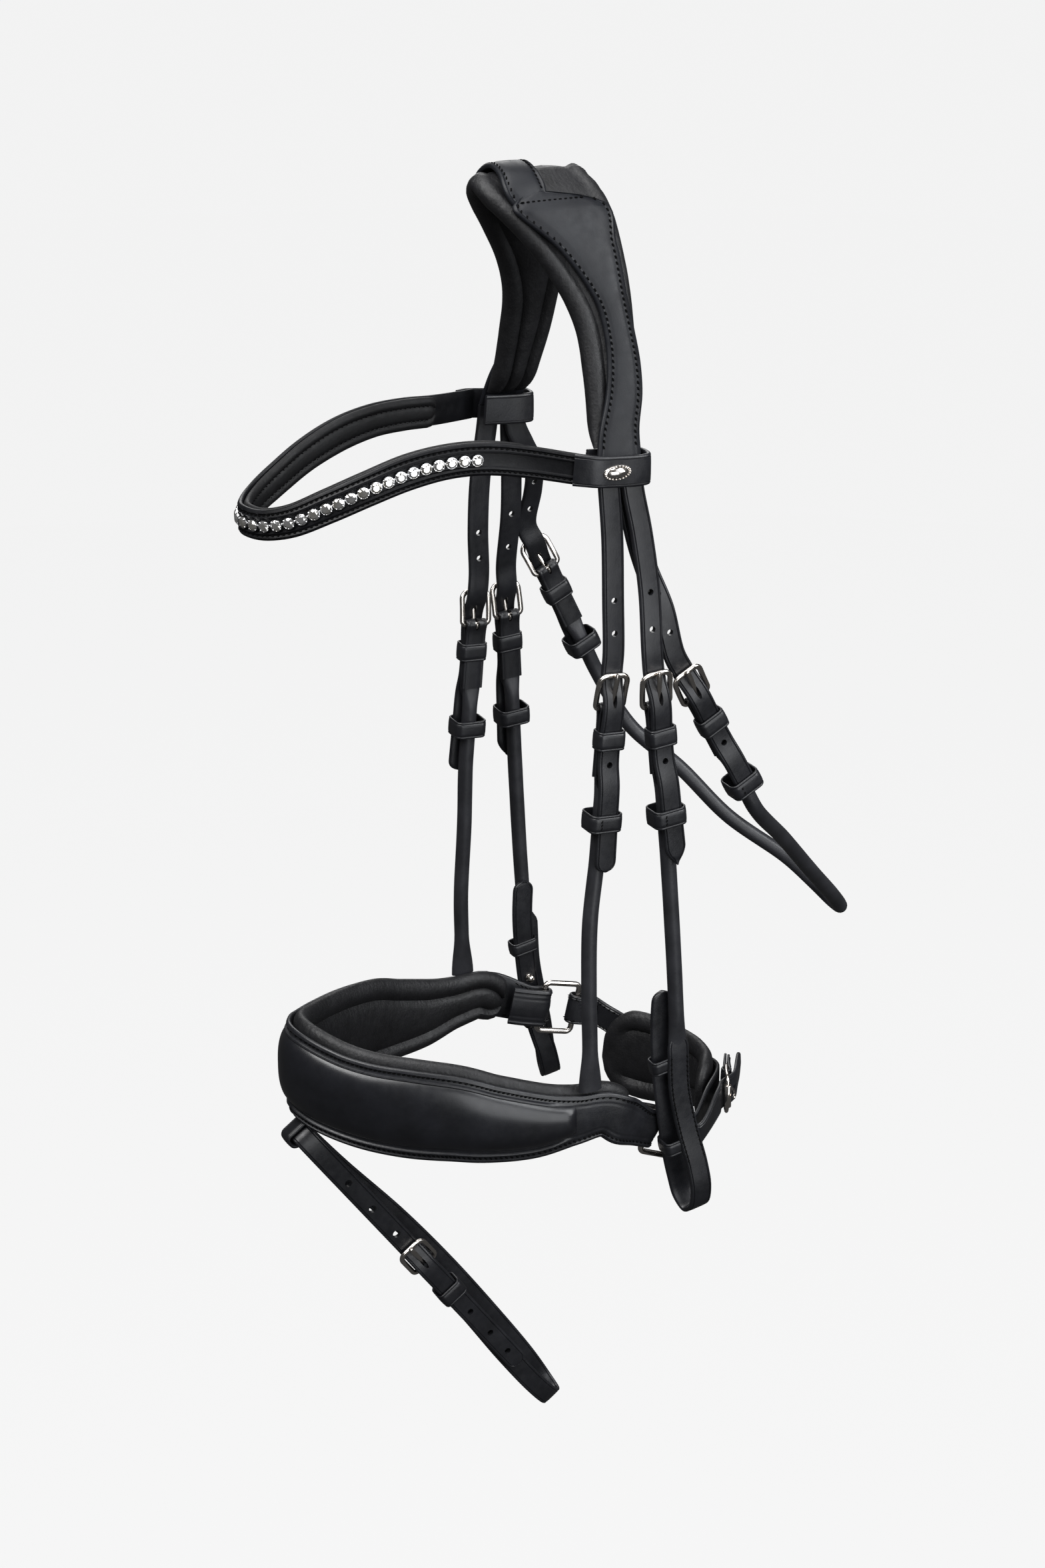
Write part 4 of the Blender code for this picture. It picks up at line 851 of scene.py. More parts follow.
def side_leg(kind, piece, side_name, body, buckles, tops, lower, ends, tip="round"):
    """One side's strap, buckle, tongue, runner and the rolled leg below them."""
    buckle = side_buckle(buckles, side_name)
    holes = strap_holes(tops, buckle, (0.0, 0.62))
    buckled_strap(f"{kind}_strap_{side_name}", tops, buckle, STRAP_TAIL, holes, aside=0.0018, tip=tip)
    buckle.frame(f"{kind}_buckle_{side_name}", body)
    buckle.tongue(f"{kind}_tongue_{side_name}", f"{kind}_tongue_{side_name}")
    runner(buckle, f"{kind}_runner_{side_name}", RUNNER_AT, f"{kind}_runner_{side_name}")
    rolled_leg(f"{piece}_{side_name}", body, buckle, lower, ends)


def hangers():
    for side_name in SIDES:
        tops = HANGER_STRAP_TOPS[side_name]
        lower = HANGER_ROLLS[side_name] + [HANGER_ROLL_ENDS[side_name]]
        ends = (0.0070, 0.0030, 0.026)
        side_leg("hanger", "hanger", side_name, "noseband", HANGER_BUCKLES, tops, lower, ends)


def cheeks():
    for side_name in SIDES:
        body, tops = f"cheek_{side_name}", CHEEK_STRAP_TOPS[side_name]
        lower, ends = CHEEK_ROLLS[side_name], (0.0056, 0.0018, 0.022)
        side_leg("cheek", "cheekpiece", side_name, body, CHEEK_BUCKLES, tops, lower, ends, tip="point")


# ---------------------------------------------------------------- bit ends
BIT_STRAP = [
    (0.0893, 0.0476, -0.4500),
    (0.0895, 0.0478, -0.4560),
    (0.0905, 0.0487, -0.4830),
    (0.0928, 0.0530, -0.5080),
    (0.0965, 0.0578, -0.5300),
    (0.0980, 0.0598, -0.5450),
    (0.0955, 0.0600, -0.5560),
    (0.0895, 0.0590, -0.5600),
    (0.0840, 0.0565, -0.5545),
    (0.0822, 0.0535, -0.5420),
    (0.0838, 0.0480, -0.5200),
    (0.0842, 0.0448, -0.5000),
    (0.0830, 0.0418, -0.4709),
    (0.0822, 0.0408, -0.4470),
    (0.0822, 0.0415, -0.4250),
]
BIT_STRAP_SIDE = (0.0, 0.985, 0.17)
BIT_SHIFT = {"near": (0.0, 0.0), "far": (0.0015, -0.0035)}
BIT_KEEPERS = ((0.0848, 0.0418, -0.4680, 0.0041), (0.0874, 0.0486, -0.5180, 0.0061))
BIT_STITCHED = 0.078


def side_point(point, side_name):
    """A near-side point of the bit end, on either side."""
    x, y, z = point[:3]
    share = min(max((z + 0.57) / 0.12, 0.0), 1.0)
    low, high = BIT_SHIFT[side_name]
    return (SIDES[side_name] * x, y + low + (high - low) * share, z)


def bit_ends():
    for side_name, sign in SIDES.items():
        across = Vector(BIT_STRAP_SIDE) * sign
        route = Route([side_point(p, side_name) for p in BIT_STRAP], tuple(across), tip=0.008)
        sign_out = 1 if route.out[3][0] * sign > 0 else -1

        def section(place, _):
            share = min(tip_share("round", route.length - place, 0.0065), 0.55 + place / 0.012)
            pairs = strap_section(0.0130 * min(share, 1.0), STRAP * min(0.45 + place / 0.02, 1.0))
            return [(a, n * sign_out) for a, n in pairs]

        mesh, trim = Mesh(), Mesh()
        sweep(mesh, route, section, STRAP_LEATHER)
        for offset in (-0.0049, 0.0049):
            stitches(trim, route, offset, sign_out * STRAP / 2, 0.012, BIT_STITCHED, pitch=0.0030)
        for x, y, z, half in BIT_KEEPERS:
            centre = side_point((x, y, z), side_name)
            band(mesh, centre, (1, 0, 0), across.normalized(), half, 0.0078, 0.0085, KEEPER_WALL)
        node = f"bit_strap_{side_name}"
        show(f"{node}_leather", mesh, f"cheek_{side_name}", [node], trim=trim)
        hook_stud(side_name, sign)


def hook_stud(side_name, sign):
    """A turned stud on the inner layer: foot, neck and round head."""
    foot = Vector(side_point((0.0838 - STRAP / 2 - 0.0003, 0.0436, -0.4890), side_name))
    profile = [(0.0024, 0.0), (0.0025, 0.0003), (0.0024, 0.0006), (0.0014, 0.0009), (0.0012, 0.0014)]
    profile += [(0.0012, 0.0022), (0.0018, 0.0027), (0.0022, 0.0031), (0.0021, 0.0036), (0.0015, 0.0040)]
    profile += [(0.0006, 0.0042)]
    mesh = Mesh()

    def point(t, radius, height):
        return foot + Vector((-sign * height, radius * math.cos(t), radius * math.sin(t)))

    mesh.rings(turned(20, profile, point), NICKEL)
    node = f"hook_stud_{side_name}"
    show(f"{node}_turned", mesh, f"cheek_{side_name}", [node])


# ---------------------------------------------------------------- throat latch
THROAT_RUNNERS = {"near": -0.060, "far": -0.0535}
THROAT_ROLL = [
    (0.0590, 0.1290, -0.3590),
    (0.0360, 0.1630, -0.3950),
    (0.0150, 0.1930, -0.4260),
    (0.0040, 0.2050, -0.4395),
    (-0.0060, 0.2060, -0.4400),
    (-0.0150, 0.1990, -0.4310),
    (-0.0300, 0.1880, -0.4180),
    (-0.0490, 0.1580, -0.3930),
    (-0.0640, 0.1330, -0.3630),
    (-0.0775, 0.1060, -0.3360),
]


def throat_latch():
    buckles = {side_name: side_buckle(THROAT_BUCKLES, side_name) for side_name in SIDES}
    mesh, trim, cutter = Mesh(), Mesh(), Mesh()
    for side_name, buckle in buckles.items():
        tops = THROAT_STRAP_TOPS[side_name]
        holes = strap_holes(tops, buckle, (0.5,)) + [Vector(tops[-2]).lerp(Vector(tops[-1]), 0.6)]
        buckled_strap(f"throat_strap_{side_name}", tops, buckle, THROAT_TAIL, holes)
        buckle.frame(f"throat_buckle_{side_name}", "throat_latch")
        buckle.tongue(f"throat_tongue_{side_name}", f"throat_tongue_{side_name}")
        runner(buckle, f"throat_runner_{side_name}", THROAT_RUNNERS[side_name], f"throat_runner_{side_name}")
        billet(mesh, trim, cutter, buckle)
    near, far = buckles["near"], buckles["far"]
    route = [near.at(-up, 0) for up in (0.034, 0.0445, 0.0645, 0.0805)]
    finish = [far.at(-up, 0) for up in (0.0745, 0.0595, 0.0445, 0.034)]
    points = [tuple(p) for p in route] + THROAT_ROLL + [tuple(p) for p in finish]
    sides = [near.across] * len(route) + [(0, 0.6, 0.8)] * len(THROAT_ROLL) + [-far.across] * len(finish)
    rolled(mesh, Route(points, sides, step=0.003), ROLL, FLAT_END, FLAT_END)
    show("throat_latch_leather", mesh, "throat_latch", ["throat_latch"], cutter=cutter, trim=trim)


# ---------------------------------------------------------------- padding
def cushion_section(width, thickness, rolls, dip, outer_dip=0.0, crown=0.0005):
    """A padded strip: a roll along each edge, a sewn channel inside it and a low cushion between.

    rolls are the sizes at the low and high edge; dip is the channel's depth on the n < 0 face.
    """
    half, rise = width / 2, thickness / 2

    def side(roll, depth):
        roll = min(roll, half * 0.55)
        groove = min(roll * 1.6, roll + (half - roll) * 0.42)
        rows = [(roll * (1 - math.cos(t)), rise * math.sin(t)) for t in np.linspace(0.12, math.pi / 2, 6)]
        rows += [((roll + groove) / 2, rise - depth * 0.40), (groove, rise - depth)]
        for share, level in ((0.10, 0.78), (0.28, 0.52), (0.6, 0.40)):
            lift = crown * share * 1.4 if depth else 0.0
            rows.append((groove + (half - groove) * share, rise - depth * level + lift))
        return rows

    low, high = rolls
    outer = [(half - d, n) for d, n in side(high, outer_dip)]
    outer += [(d - half, n) for d, n in side(low, outer_dip)[::-1]]
    inner = [(d - half, -n) for d, n in side(low, dip)]
    inner += [(half - d, -n) for d, n in side(high, dip)[::-1]]
    return outer + inner


def end_share(place, length, reach):
    """Rounds both ends of a pad over reach."""
    back = min(place, length - place)
    if back >= reach:
        return 1.0
    return max(math.sqrt(max(1 - (1 - back / reach) ** 2, 0.0)), 0.08)


def soft_ripple(place, a, n, size, seed):
    """The small unevenness of leather over foam."""
    rough = noise.noise(Vector((place * 60.0, a * 60.0, seed)))
    fine = noise.noise(Vector((place * 420.0, a * 90.0, seed + 5.0)))
    return n + (rough * 0.6 + fine * 0.4) * size * (1 if n > 0 else -1)


# ---------------------------------------------------------------- headpiece
CROWN = [
    (0.0000, 0.0120, -0.0330, 0.0310),
    (0.0135, 0.0045, -0.0300, 0.0350),
    (0.0240, -0.0065, -0.0225, 0.0375),
    (0.0325, -0.0215, -0.0120, 0.0385),
    (0.0400, -0.0400, -0.0010, 0.0392),
    (0.0470, -0.0600, 0.0060, 0.0386),
    (0.0540, -0.0825, 0.0072, 0.0368),
    (0.0600, -0.1040, 0.0066, 0.0330),
    (0.0643, -0.1190, 0.0049, 0.0311),
]
HEAD_PAD = 0.0112
HEAD_PAD_MIDDLE = 0.0054
PINCH_REACH = 0.016
PANEL = [
    (0.0162, 0.0020, -0.0180, 0.0050),
    (0.0215, -0.0030, -0.0215, 0.0290),
    (0.0335, -0.0230, -0.0010, 0.0322),
    (0.0430, -0.0480, 0.0145, 0.0335),
    (0.0482, -0.0640, 0.0176, 0.0350),
    (0.0530, -0.0800, 0.0172, 0.0362),
    (0.0575, -0.0955, 0.0140, 0.0352),
    (0.0622, -0.1120, 0.0080, 0.0312),
    (0.0668, -0.1280, 0.0045, 0.0303),
]


def headpiece_pad():
    half = [(x, 0, z, front, rear) for x, z, front, rear in CROWN]
    rows = [(-row[0], *row[1:]) for row in half[:0:-1]] + half
    route = Route(rows, (0, 1, 0), step=0.0022)

    def section(place, extra):
        front, rear = extra
        middle = (front + rear) / 2
        away = abs(place - route.length / 2)
        pairs = cushion_section(rear - front, HEAD_PAD, (0.0064, 0.0058), 0.0022, 0.0010, 0.0010)
        crumple = 0.0008 * math.exp(-((away / 0.020) ** 2))
        pinched = max(1 - (route.length / 2 - away) / PINCH_REACH, 0.0) ** 2
        out = []
        for a, n in pairs:
            a *= 1 - 0.10 * pinched
            n = HEAD_PAD / 2 + (n - HEAD_PAD / 2) * (1 - 0.62 * pinched)
            n = soft_ripple(place, a, n, 0.00030 + crumple, 3.0)
            if n > 0:
                drift = 4 * noise.noise(Vector((a * 90, place * 50, 1.0)))
                n += crumple * 0.6 * math.sin(place * 1900.0 + drift)
            out.append((a + middle, n - HEAD_PAD_MIDDLE))
        return out

    mesh, trim = Mesh(), Mesh()
    sweep(mesh, route, section, SOFT)
    for share in (-0.36, 0.36):
        stitches(trim, route, lambda p: pad_line(route, p, share), -0.0091, 0.02, route.length - 0.02)
    obj = show("headpiece_pad_leather", mesh, "headpiece", ["headpiece_pad"], trim=trim)


def pad_line(route, place, share):
    front, rear = route.column(route.extra, place)
    return (front + rear) / 2 + (rear - front) * share


def raised_panel_section(width, thickness, edge, crown):
    """A sewn panel: a rolled edge, a sunk stitching line and a softly crowned face."""
    half, rise = width / 2, thickness / 2
    rim = rounded_edge(half, rise, rise * 0.95)
    rim += [(half - edge * 0.62, rise + 0.00025), (half - edge * 0.85, rise - 0.00020)]
    rim += [(half - edge, rise - 0.00040), (half - edge * 1.35, rise - 0.00028)]
    shoulder = half - edge * 1.8
    rim += [
        (shoulder, rise + crown * 0.35),
        (shoulder * 0.75, rise + crown * 0.75),
        (shoulder * 0.3, rise + crown),
    ]
    return flat_backed(rim, half, rise)


TOP_STITCHES = 0.0062


def headpiece_panel(side_name, sign):
    rows = [(sign * x, 0, z, front, rear) for x, z, front, rear in PANEL]
    route = Route(rows, (0, sign, 0), step=0.0022)
    lift = 0.0009 + STRAP / 2

    def share(place):
        return 1.0 if place > 0.010 else max(math.sqrt(1 - (1 - place / 0.010) ** 2), 0.25)

    def section(place, extra):
        middle, width = sign * (extra[0] + extra[1]) / 2, (extra[1] - extra[0]) * share(place)
        pairs = raised_panel_section(width, STRAP, 0.0026, 0.0007)
        sunk = 0.0008 * math.exp(-(((place - TOP_STITCHES) / 0.0014) ** 2))
        return [(a + middle, n + lift - (sunk if n > 0 else 0.0)) for a, n in pairs]

    def edge_line(place, which):
        front, rear = route.column(route.extra, place)
        return sign * (front + rear) / 2 + which * ((rear - front) * share(place) / 2 - 0.0029)

    mesh, trim = Mesh(), Mesh()
    sweep(mesh, route, section, PANEL_LEATHER)
    for which in (-1, 1):
        level = lift + STRAP / 2 - 0.00020
        stitches(trim, route, lambda p, w=which: edge_line(p, w), level, 0.006, route.length - 0.008)
    ends = [edge_line(TOP_STITCHES, which) for which in (-1, 1)]
    across = unit(route.column(route.across, TOP_STITCHES))
    out = unit(route.column(route.out, TOP_STITCHES))
    for offset in np.arange(ends[0] + 0.002, ends[1] - 0.001, 0.0030):
        stitch(trim, route.at(TOP_STITCHES, offset, level + 0.0002), across, out)
    node = f"headpiece_panel_{side_name}"
    show(f"{node}_leather", mesh, "headpiece", [node], trim=trim)


def poll_bridge():
    """The raised leather band that ties the two panels together over the poll."""
    half = [
        (0.0000, -0.0108, 0.0150, 0.0215),
        (0.0100, -0.0108, 0.0122, 0.0220),
        (0.0165, -0.0106, 0.0064, 0.0235),
        (0.0200, -0.0090, 0.0006, 0.0205),
        (0.0222, -0.0075, -0.0040, 0.0170),
    ]
    points = [(-row[0], *row[1:]) for row in half[:0:-1]] + half
    route = Route(points, (0, 1, 0), step=0.0018)

    mesh, trim = Mesh(), Mesh()
    sweep(mesh, route, lambda _, extra: raised_panel_section(extra[0], 0.0030, 0.0022, 0.0006), PANEL_LEATHER)
    for which in (-1, 1):
        stitches(trim, route, which * 0.0082, 0.00135, 0.008, route.length - 0.008, pitch=0.0027)
    show("poll_bridge_leather", mesh, "headpiece", ["poll_bridge"], trim=trim)


# ---------------------------------------------------------------- browband
BROWBAND = [
    (0.0000, -0.1610, -0.1512, 0.0160),
    (0.0130, -0.1565, -0.1512, 0.0160),
    (0.0250, -0.1455, -0.1485, 0.0165),
    (0.0345, -0.1285, -0.1418, 0.0172),
    (0.0415, -0.1100, -0.1338, 0.0175),
    (0.0460, -0.0890, -0.1265, 0.0180),
    (0.0495, -0.0690, -0.1228, 0.0175),
    (0.0530, -0.0500, -0.1225, 0.0172),
    (0.0585, -0.0290, -0.1245, 0.0168),
    (0.0690, -0.0060, -0.1270, 0.0164),
    (0.0736, 0.0020, -0.1280, 0.0164),
    (0.0748, 0.0150, -0.1294, 0.0164),
    (0.0746, 0.0280, -0.1302, 0.0164),
]
BROWBAND_RETURN = [
    (0.0732, 0.0318, -0.1303, 0.0164),
    (0.0698, 0.0334, -0.1303, 0.0164),
    (0.0640, 0.0334, -0.1303, 0.0164),
    (0.0605, 0.0318, -0.1302, 0.0164),
    (0.0593, 0.0280, -0.1301, 0.0164),
    (0.0593, 0.0180, -0.1296, 0.0164),
    (0.0593, 0.0035, -0.1285, 0.0164),
]
BROWBAND_LIFT = 0.0024
BROWBAND_LIFT_FROM = (0.020, 0.036, 0.053, 0.069)
BROWBAND_STRAP = 0.0025
BROWBAND_PADDING = 0.0042
CRYSTAL_PITCH = 0.0067
CRYSTAL_RADIUS = 0.0029


def both_sides(half):
    """A near-side list from the middle out, made whole from the far end to the near end."""
    return [(-row[0], *row[1:]) for row in half[:0:-1]] + list(half)


def lifted(rows):
    """Rows of the browband with the near half lifted."""
    lifts = [BROWBAND_LIFT * np.interp(x, BROWBAND_LIFT_FROM, (0, 1, 1, 0)) for x, *_ in rows]
    return [(x, y, z + lift, width) for (x, y, z, width), lift in zip(rows, lifts)]


def moved_in(points, distance):
    """Rows moved towards the horse in plan, square to their line."""
    rows = np.array(points, float)
    along = tangents(rows[:, :3])
    inward = unit(np.stack([-along[:, 1], along[:, 0], np.zeros(len(rows))], axis=1))
    rows[:, :3] += inward * distance
    return [tuple(row) for row in rows]


def browband_section(height):
    """Bevelled edges, a stitched channel inside each, and a bed for the crystals between two ridges."""
    half, rise = height / 2, BROWBAND_STRAP / 2
    rim = rounded_edge(half, rise, rise * 0.92, high=1.3, count=6)
    rim += [(half - 0.0016, rise + 0.00035), (half - 0.0021, rise - 0.00015), (half - 0.0026, rise - 0.00040)]
    rim += [(half - 0.0032, rise - 0.00010), (half - 0.0038, rise + 0.00040), (0.0038, rise + 0.00030)]
    rim += [(0.0033, rise - 0.00040), (0.0015, rise - 0.00050)]
    return flat_backed(rim, half, rise)


def browband():
    line = lifted(both_sides(BROWBAND[:11]))
    route = Route(line, (0, 0, 1), step=0.0022)
    mesh, trim = Mesh(), Mesh()
    sweep(mesh, route, lambda _, extra: browband_section(extra[0]), BAND_LEATHER)
    for which in (-1, 1):
        row = inset_row(route, which, 0.0027)
        stitches(trim, route, row, BROWBAND_STRAP / 2 - 0.0003, 0.003, route.length - 0.003, pitch=0.0028)
    show("browband_band_leather", mesh, "browband", ["browband_strap"], trim=trim)
    for side_name, sign in SIDES.items():
        browband_loop(side_name, sign)
    browband_padding()
    crystals()
    ornament()


def browband_loop(side_name, sign):
    """The end of the browband: a smooth layer that folds round the headpiece."""
    start = [(0.0688, -0.0085, -0.1268, 0.0166), (0.0716, -0.0030, -0.1273, 0.0166)]
    outer = moved_in(start + BROWBAND[10:], -0.0012)
    rows = [(sign * x, y, z, width) for x, y, z, width in outer[:3] + BROWBAND[11:] + BROWBAND_RETURN]
    route = Route(rows, (0, 0, sign), step=0.0020)

    def section(place, extra):
        thick = BROWBAND_STRAP * min(0.55 + place / 0.006, 1.0)
        return strap_section(extra[0] + 0.0002, thick, crease=0.0017)

    mesh, trim = Mesh(), Mesh()
    sweep(mesh, route, section, STRAP_LEATHER)
    show(f"browband_loop_{side_name}_leather", mesh, "browband", ["browband_strap"], trim=trim)


def browband_padding():
    inset = BROWBAND_STRAP / 2 + BROWBAND_PADDING / 2 + 0.0002
    route = Route(moved_in(lifted(both_sides(BROWBAND[:9])), inset), (0, 0, 1), step=0.0022)

    def section(place, extra):
        share = end_share(place, route.length, 0.006)
        width = extra[0] * (0.6 + 0.4 * share)
        pairs = cushion_section(width, BROWBAND_PADDING * share, (0.0030, 0.0030), 0.0010)
        return [(a, soft_ripple(place, a, n, 0.0002, 9.0)) for a, n in pairs]

    mesh, trim = Mesh(), Mesh()
    sweep(mesh, route, section, LINING)
    for which in (-1, 1):
        row = inset_row(route, which, 0.0045)
        stitches(trim, route, row, -BROWBAND_PADDING / 2 + 0.0010, 0.006, route.length - 0.006)
    obj = show(
        "browband_padding_leather", mesh, "browband", ["browband_padding"], trim=trim
    )


def crystals():
    """A row of round stones, each in its own cup, along the browband's middle."""
    route = Route(lifted(both_sides(BROWBAND[:8])), (0, 0, 1), step=0.0020)
    stones, cups = Mesh(), Mesh()
    count = int(route.length / CRYSTAL_PITCH)
    start = (route.length - (count - 1) * CRYSTAL_PITCH) / 2
    for k in range(count):
        place = start + k * CRYSTAL_PITCH
        base = Vector(route.at(place, 0.0, BROWBAND_STRAP / 2 - 0.0004))
        along = Vector(route.direction(place))
        out = Vector(unit(route.column(route.out, place)))
        stone(stones, base + out * 0.0015, along, out, random.Random(k).uniform(0, 0.7))
        cup(cups, base, along, out)
        if k < count - 1:
            middle = Vector(route.at(place + CRYSTAL_PITCH / 2, 0.0, BROWBAND_STRAP / 2 + 0.0002))
            dome(cups, middle, out, 0.0008, 0.0007, CUP, count=8)
    show("crystal_row_stones", stones, "browband", ["crystal_chain"], flat=True)
    show("crystal_row_cups", cups, "browband", ["crystal_chain"])


def stone(mesh, girdle, along, out, turn):
    """A round brilliant's crown: table, star, kite and girdle facets."""
    side = out.cross(along)

    def ring(radius, height, count, offset):
        angles = [math.tau * k / count + offset + turn for k in range(count)]
        directions = [along * math.cos(t) + side * math.sin(t) for t in angles]
        return [girdle + toward * CRYSTAL_RADIUS * radius + out * height for toward in directions]

    step = math.tau / 16
    points = ring(0.55, 0.00115, 8, 0) + ring(0.83, 0.00068, 8, step) + ring(1.0, 0.0, 16, 0)
    points += ring(0.96, -0.0006, 16, 0)
    faces = [tuple(range(8))]
    for k in range(8):
        after = (k + 1) % 8
        before = (k - 1) % 8
        faces.append((k, 8 + k, after))
        faces.append((k, 8 + before, 16 + 2 * k, 8 + k))
        faces.append((8 + k, 16 + 2 * k, 17 + 2 * k))
        faces.append((8 + k, 17 + 2 * k, 16 + (2 * k + 2) % 16))
    for k in range(16):
        faces.append((16 + k, 32 + k, 32 + (k + 1) % 16, 16 + (k + 1) % 16))
    faces.append(tuple(range(32, 48))[::-1])
    mesh.add(points, faces, CRYSTAL)


def cup(mesh, base, along, out):
    """A metal cup whose rim holds the stone's girdle, with four small claws."""
    side = out.cross(along)
    profile = [(0.95, 0.0), (1.09, 0.0002), (1.12, 0.0012), (1.08, 0.00165), (1.0, 0.0017), (0.93, 0.0013)]

    def point(t, radius, height):
        return base + (along * math.cos(t) + side * math.sin(t)) * CRYSTAL_RADIUS * radius + out * height

    mesh.rings(turned(20, profile, point), CUP)
    for k in range(4):
        dome(mesh, point(math.tau * (k + 0.5) / 4, 0.98, 0.0017), out, 0.00042, 0.0005, CUP, count=8)


def ornament():
    """A plain oval metal dome with a beaded rim on the near loop."""
    centre = Vector((0.0748 + BROWBAND_STRAP / 2 + 0.0001, 0.0125, -0.1292))
    out = Vector((math.cos(math.radians(2)), math.sin(math.radians(2)), 0)).normalized()
    along, up = UP.cross(out), UP
    mesh = Mesh()
    profile = [(0.98, -0.0003), (1.0, 0.0005), (0.94, 0.0009), (0.82, 0.0009)]
    profile += [(0.76, 0.0012), (0.55, 0.0022), (0.30, 0.0027), (0.06, 0.0029)]

    def point(t, share, height):
        spot = centre + along * 0.0082 * share * math.cos(t) + up * 0.0040 * share * math.sin(t)
        return spot + out * height

    mesh.rings(turned(36, profile, point), NICKEL)
    for k in range(22):
        t = math.tau * k / 22
        spot = centre + along * 0.0073 * math.cos(t) + up * 0.0035 * math.sin(t) + out * 0.0007
        dome(mesh, spot, out, 0.00052, 0.0007, NICKEL, count=8)
    show("browband_ornament", mesh, "browband", ["browband_stud"])


# ---------------------------------------------------------------- noseband
NOSEBAND = [
    (0.0000, -0.1370, -0.4385, -0.4965),
    (0.0110, -0.1335, -0.4410, -0.4990),
    (0.0225, -0.1257, -0.4450, -0.5020),
    (0.0350, -0.1130, -0.4485, -0.5055),
    (0.0475, -0.0940, -0.4515, -0.5090),
    (0.0575, -0.0736, -0.4555, -0.5110),
    (0.0640, -0.0561, -0.4620, -0.5130),
    (0.0705, -0.0317, -0.4695, -0.5130),
    (0.0750, -0.0101, -0.4740, -0.5080),
    (0.0765, 0.0072, -0.4755, -0.5060),
]
TAB_ENDS = {
    "near": ((0.0760, 0.0385, -0.5110), (-0.08, 0.90, -0.42)),
    "far": ((-0.0745, 0.0460, -0.5060), (0.10, 0.96, -0.22)),
}
PAD = 0.009
FACING = 0.0025
NOSE_GAP = 0.0010
LINK_WIRE = 0.0016
LINK_LENGTH = 0.0225
LINK_HEIGHT = 0.0310
LINK_CORNER = 0.0032
TAB_WIDTH = 0.0235
CHIN_STRAP = 0.0022
CHIN_WIDTH = 0.0180
FACING_LIFT = PAD / 2 + NOSE_GAP + FACING / 2


def noseband_line(distance, top_trim=0.0, bottom_trim=0.0, last=10):
    """Rows x, y, z, height of a layer of the noseband, moved out by distance."""
    rows = []
    for x, y, top, bottom in NOSEBAND[:last]:
        top, bottom = top - top_trim, bottom + bottom_trim
        rows.append((x, y, (top + bottom) / 2, top - bottom))
    return moved_in(both_sides(rows), -distance)


class TabEnd:
    """Where a noseband tab folds round its link: the front bar, and the way back to the rear bar."""

    def __init__(self, side_name):
        front, back = TAB_ENDS[side_name]
        self.sign = SIDES[side_name]
        self.front = Vector(front)
        self.back = Vector(back).normalized()
        out = Vector((self.sign, 0, 0))
        self.out = (out - out.dot(self.back) * self.back).normalized()
        self.bar = self.out.cross(self.back) * self.sign
        self.rear = self.front + self.back * LINK_LENGTH

    def around(self, centre, radius, degrees):
        """Points round a bar: 0 is backwards and 90 is outwards."""
        points = []
        for angle in degrees:
            turn = math.radians(angle)
            points.append(centre + self.back * radius * math.cos(turn) + self.out * radius * math.sin(turn))
        return points


def tab_route(end):
    """The facing's end: back along the outside, round the link's front bar, and inside again."""
    radius = LINK_WIRE + 0.0008 + FACING / 2
    points = [end.front - end.back * 0.008 + end.out * (radius + 0.0004)]
    points += end.around(end.front, radius, range(90, -91, -30))
    points += [end.front - end.back * 0.012 - end.out * (radius - 0.0006)]
    points += [end.front - end.back * 0.020 - end.out * (radius - 0.0022)]
    return [(*point, TAB_WIDTH) for point in points]


def noseband():
    noseband_pad()
    near, far = TabEnd("near"), TabEnd("far")
    noseband_facing(near, far)
    raised_panel()
    for side_name, end in (("near", near), ("far", far)):
        link(side_name, end)
    chin_pad()
    chin_strap(near, far)


def noseband_pad():
    near_end = [(0.0768, 0.0180, -0.4975, 0.0280), (0.0768, 0.0215, -0.4990, 0.0250)]
    far_end = [(-x, y, z, w) for x, y, z, w in near_end[::-1]]
    route = Route(far_end + noseband_line(0.0) + near_end, (0, 0, 1), step=0.0022)

    def section(place, extra):
        share = end_share(place, route.length, 0.012)
        away = min(place, route.length - place)
        fat = min(1.0, 0.72 + away / 0.20)
        rolls = (0.0062 * fat, 0.0080 * fat)
        pairs = cushion_section(extra[0] * (0.5 + 0.5 * share), PAD * share, rolls, 0.0026, 0.0, 0.0012)
        return [(a, soft_ripple(place, a, n, 0.00030, 21.0)) for a, n in pairs]

    mesh, trim = Mesh(), Mesh()
    sweep(mesh, route, section, SOFT)
    obj = show("noseband_pad_leather", mesh, "noseband", ["noseband_pad"], trim=trim)


def facing_section(height, ridge):
    """Turned edges, a stitched channel along each, and a piped line against the raised panel."""
    half, rise = height / 2, FACING / 2
    rim = rounded_edge(half, rise, rise * 0.92, high=1.3, count=6)
    rim += [(half - 0.0019, rise + 0.00035), (half - 0.0025, rise - 0.00045), (half - 0.0034, rise - 0.00045)]
    rim += [(half - 0.0042, rise - 0.00010), (half - 0.0047, rise + 0.0012 * ridge)]
    rim += [(half - 0.0055, rise + 0.0016 * ridge), (half - 0.0063, rise + 0.0012 * ridge)]
    rim += [(half - 0.0068, rise + 0.0002), (half - 0.0076, rise + 0.0003), (half * 0.12, rise + 0.0006)]
    return flat_backed(rim, half, rise)


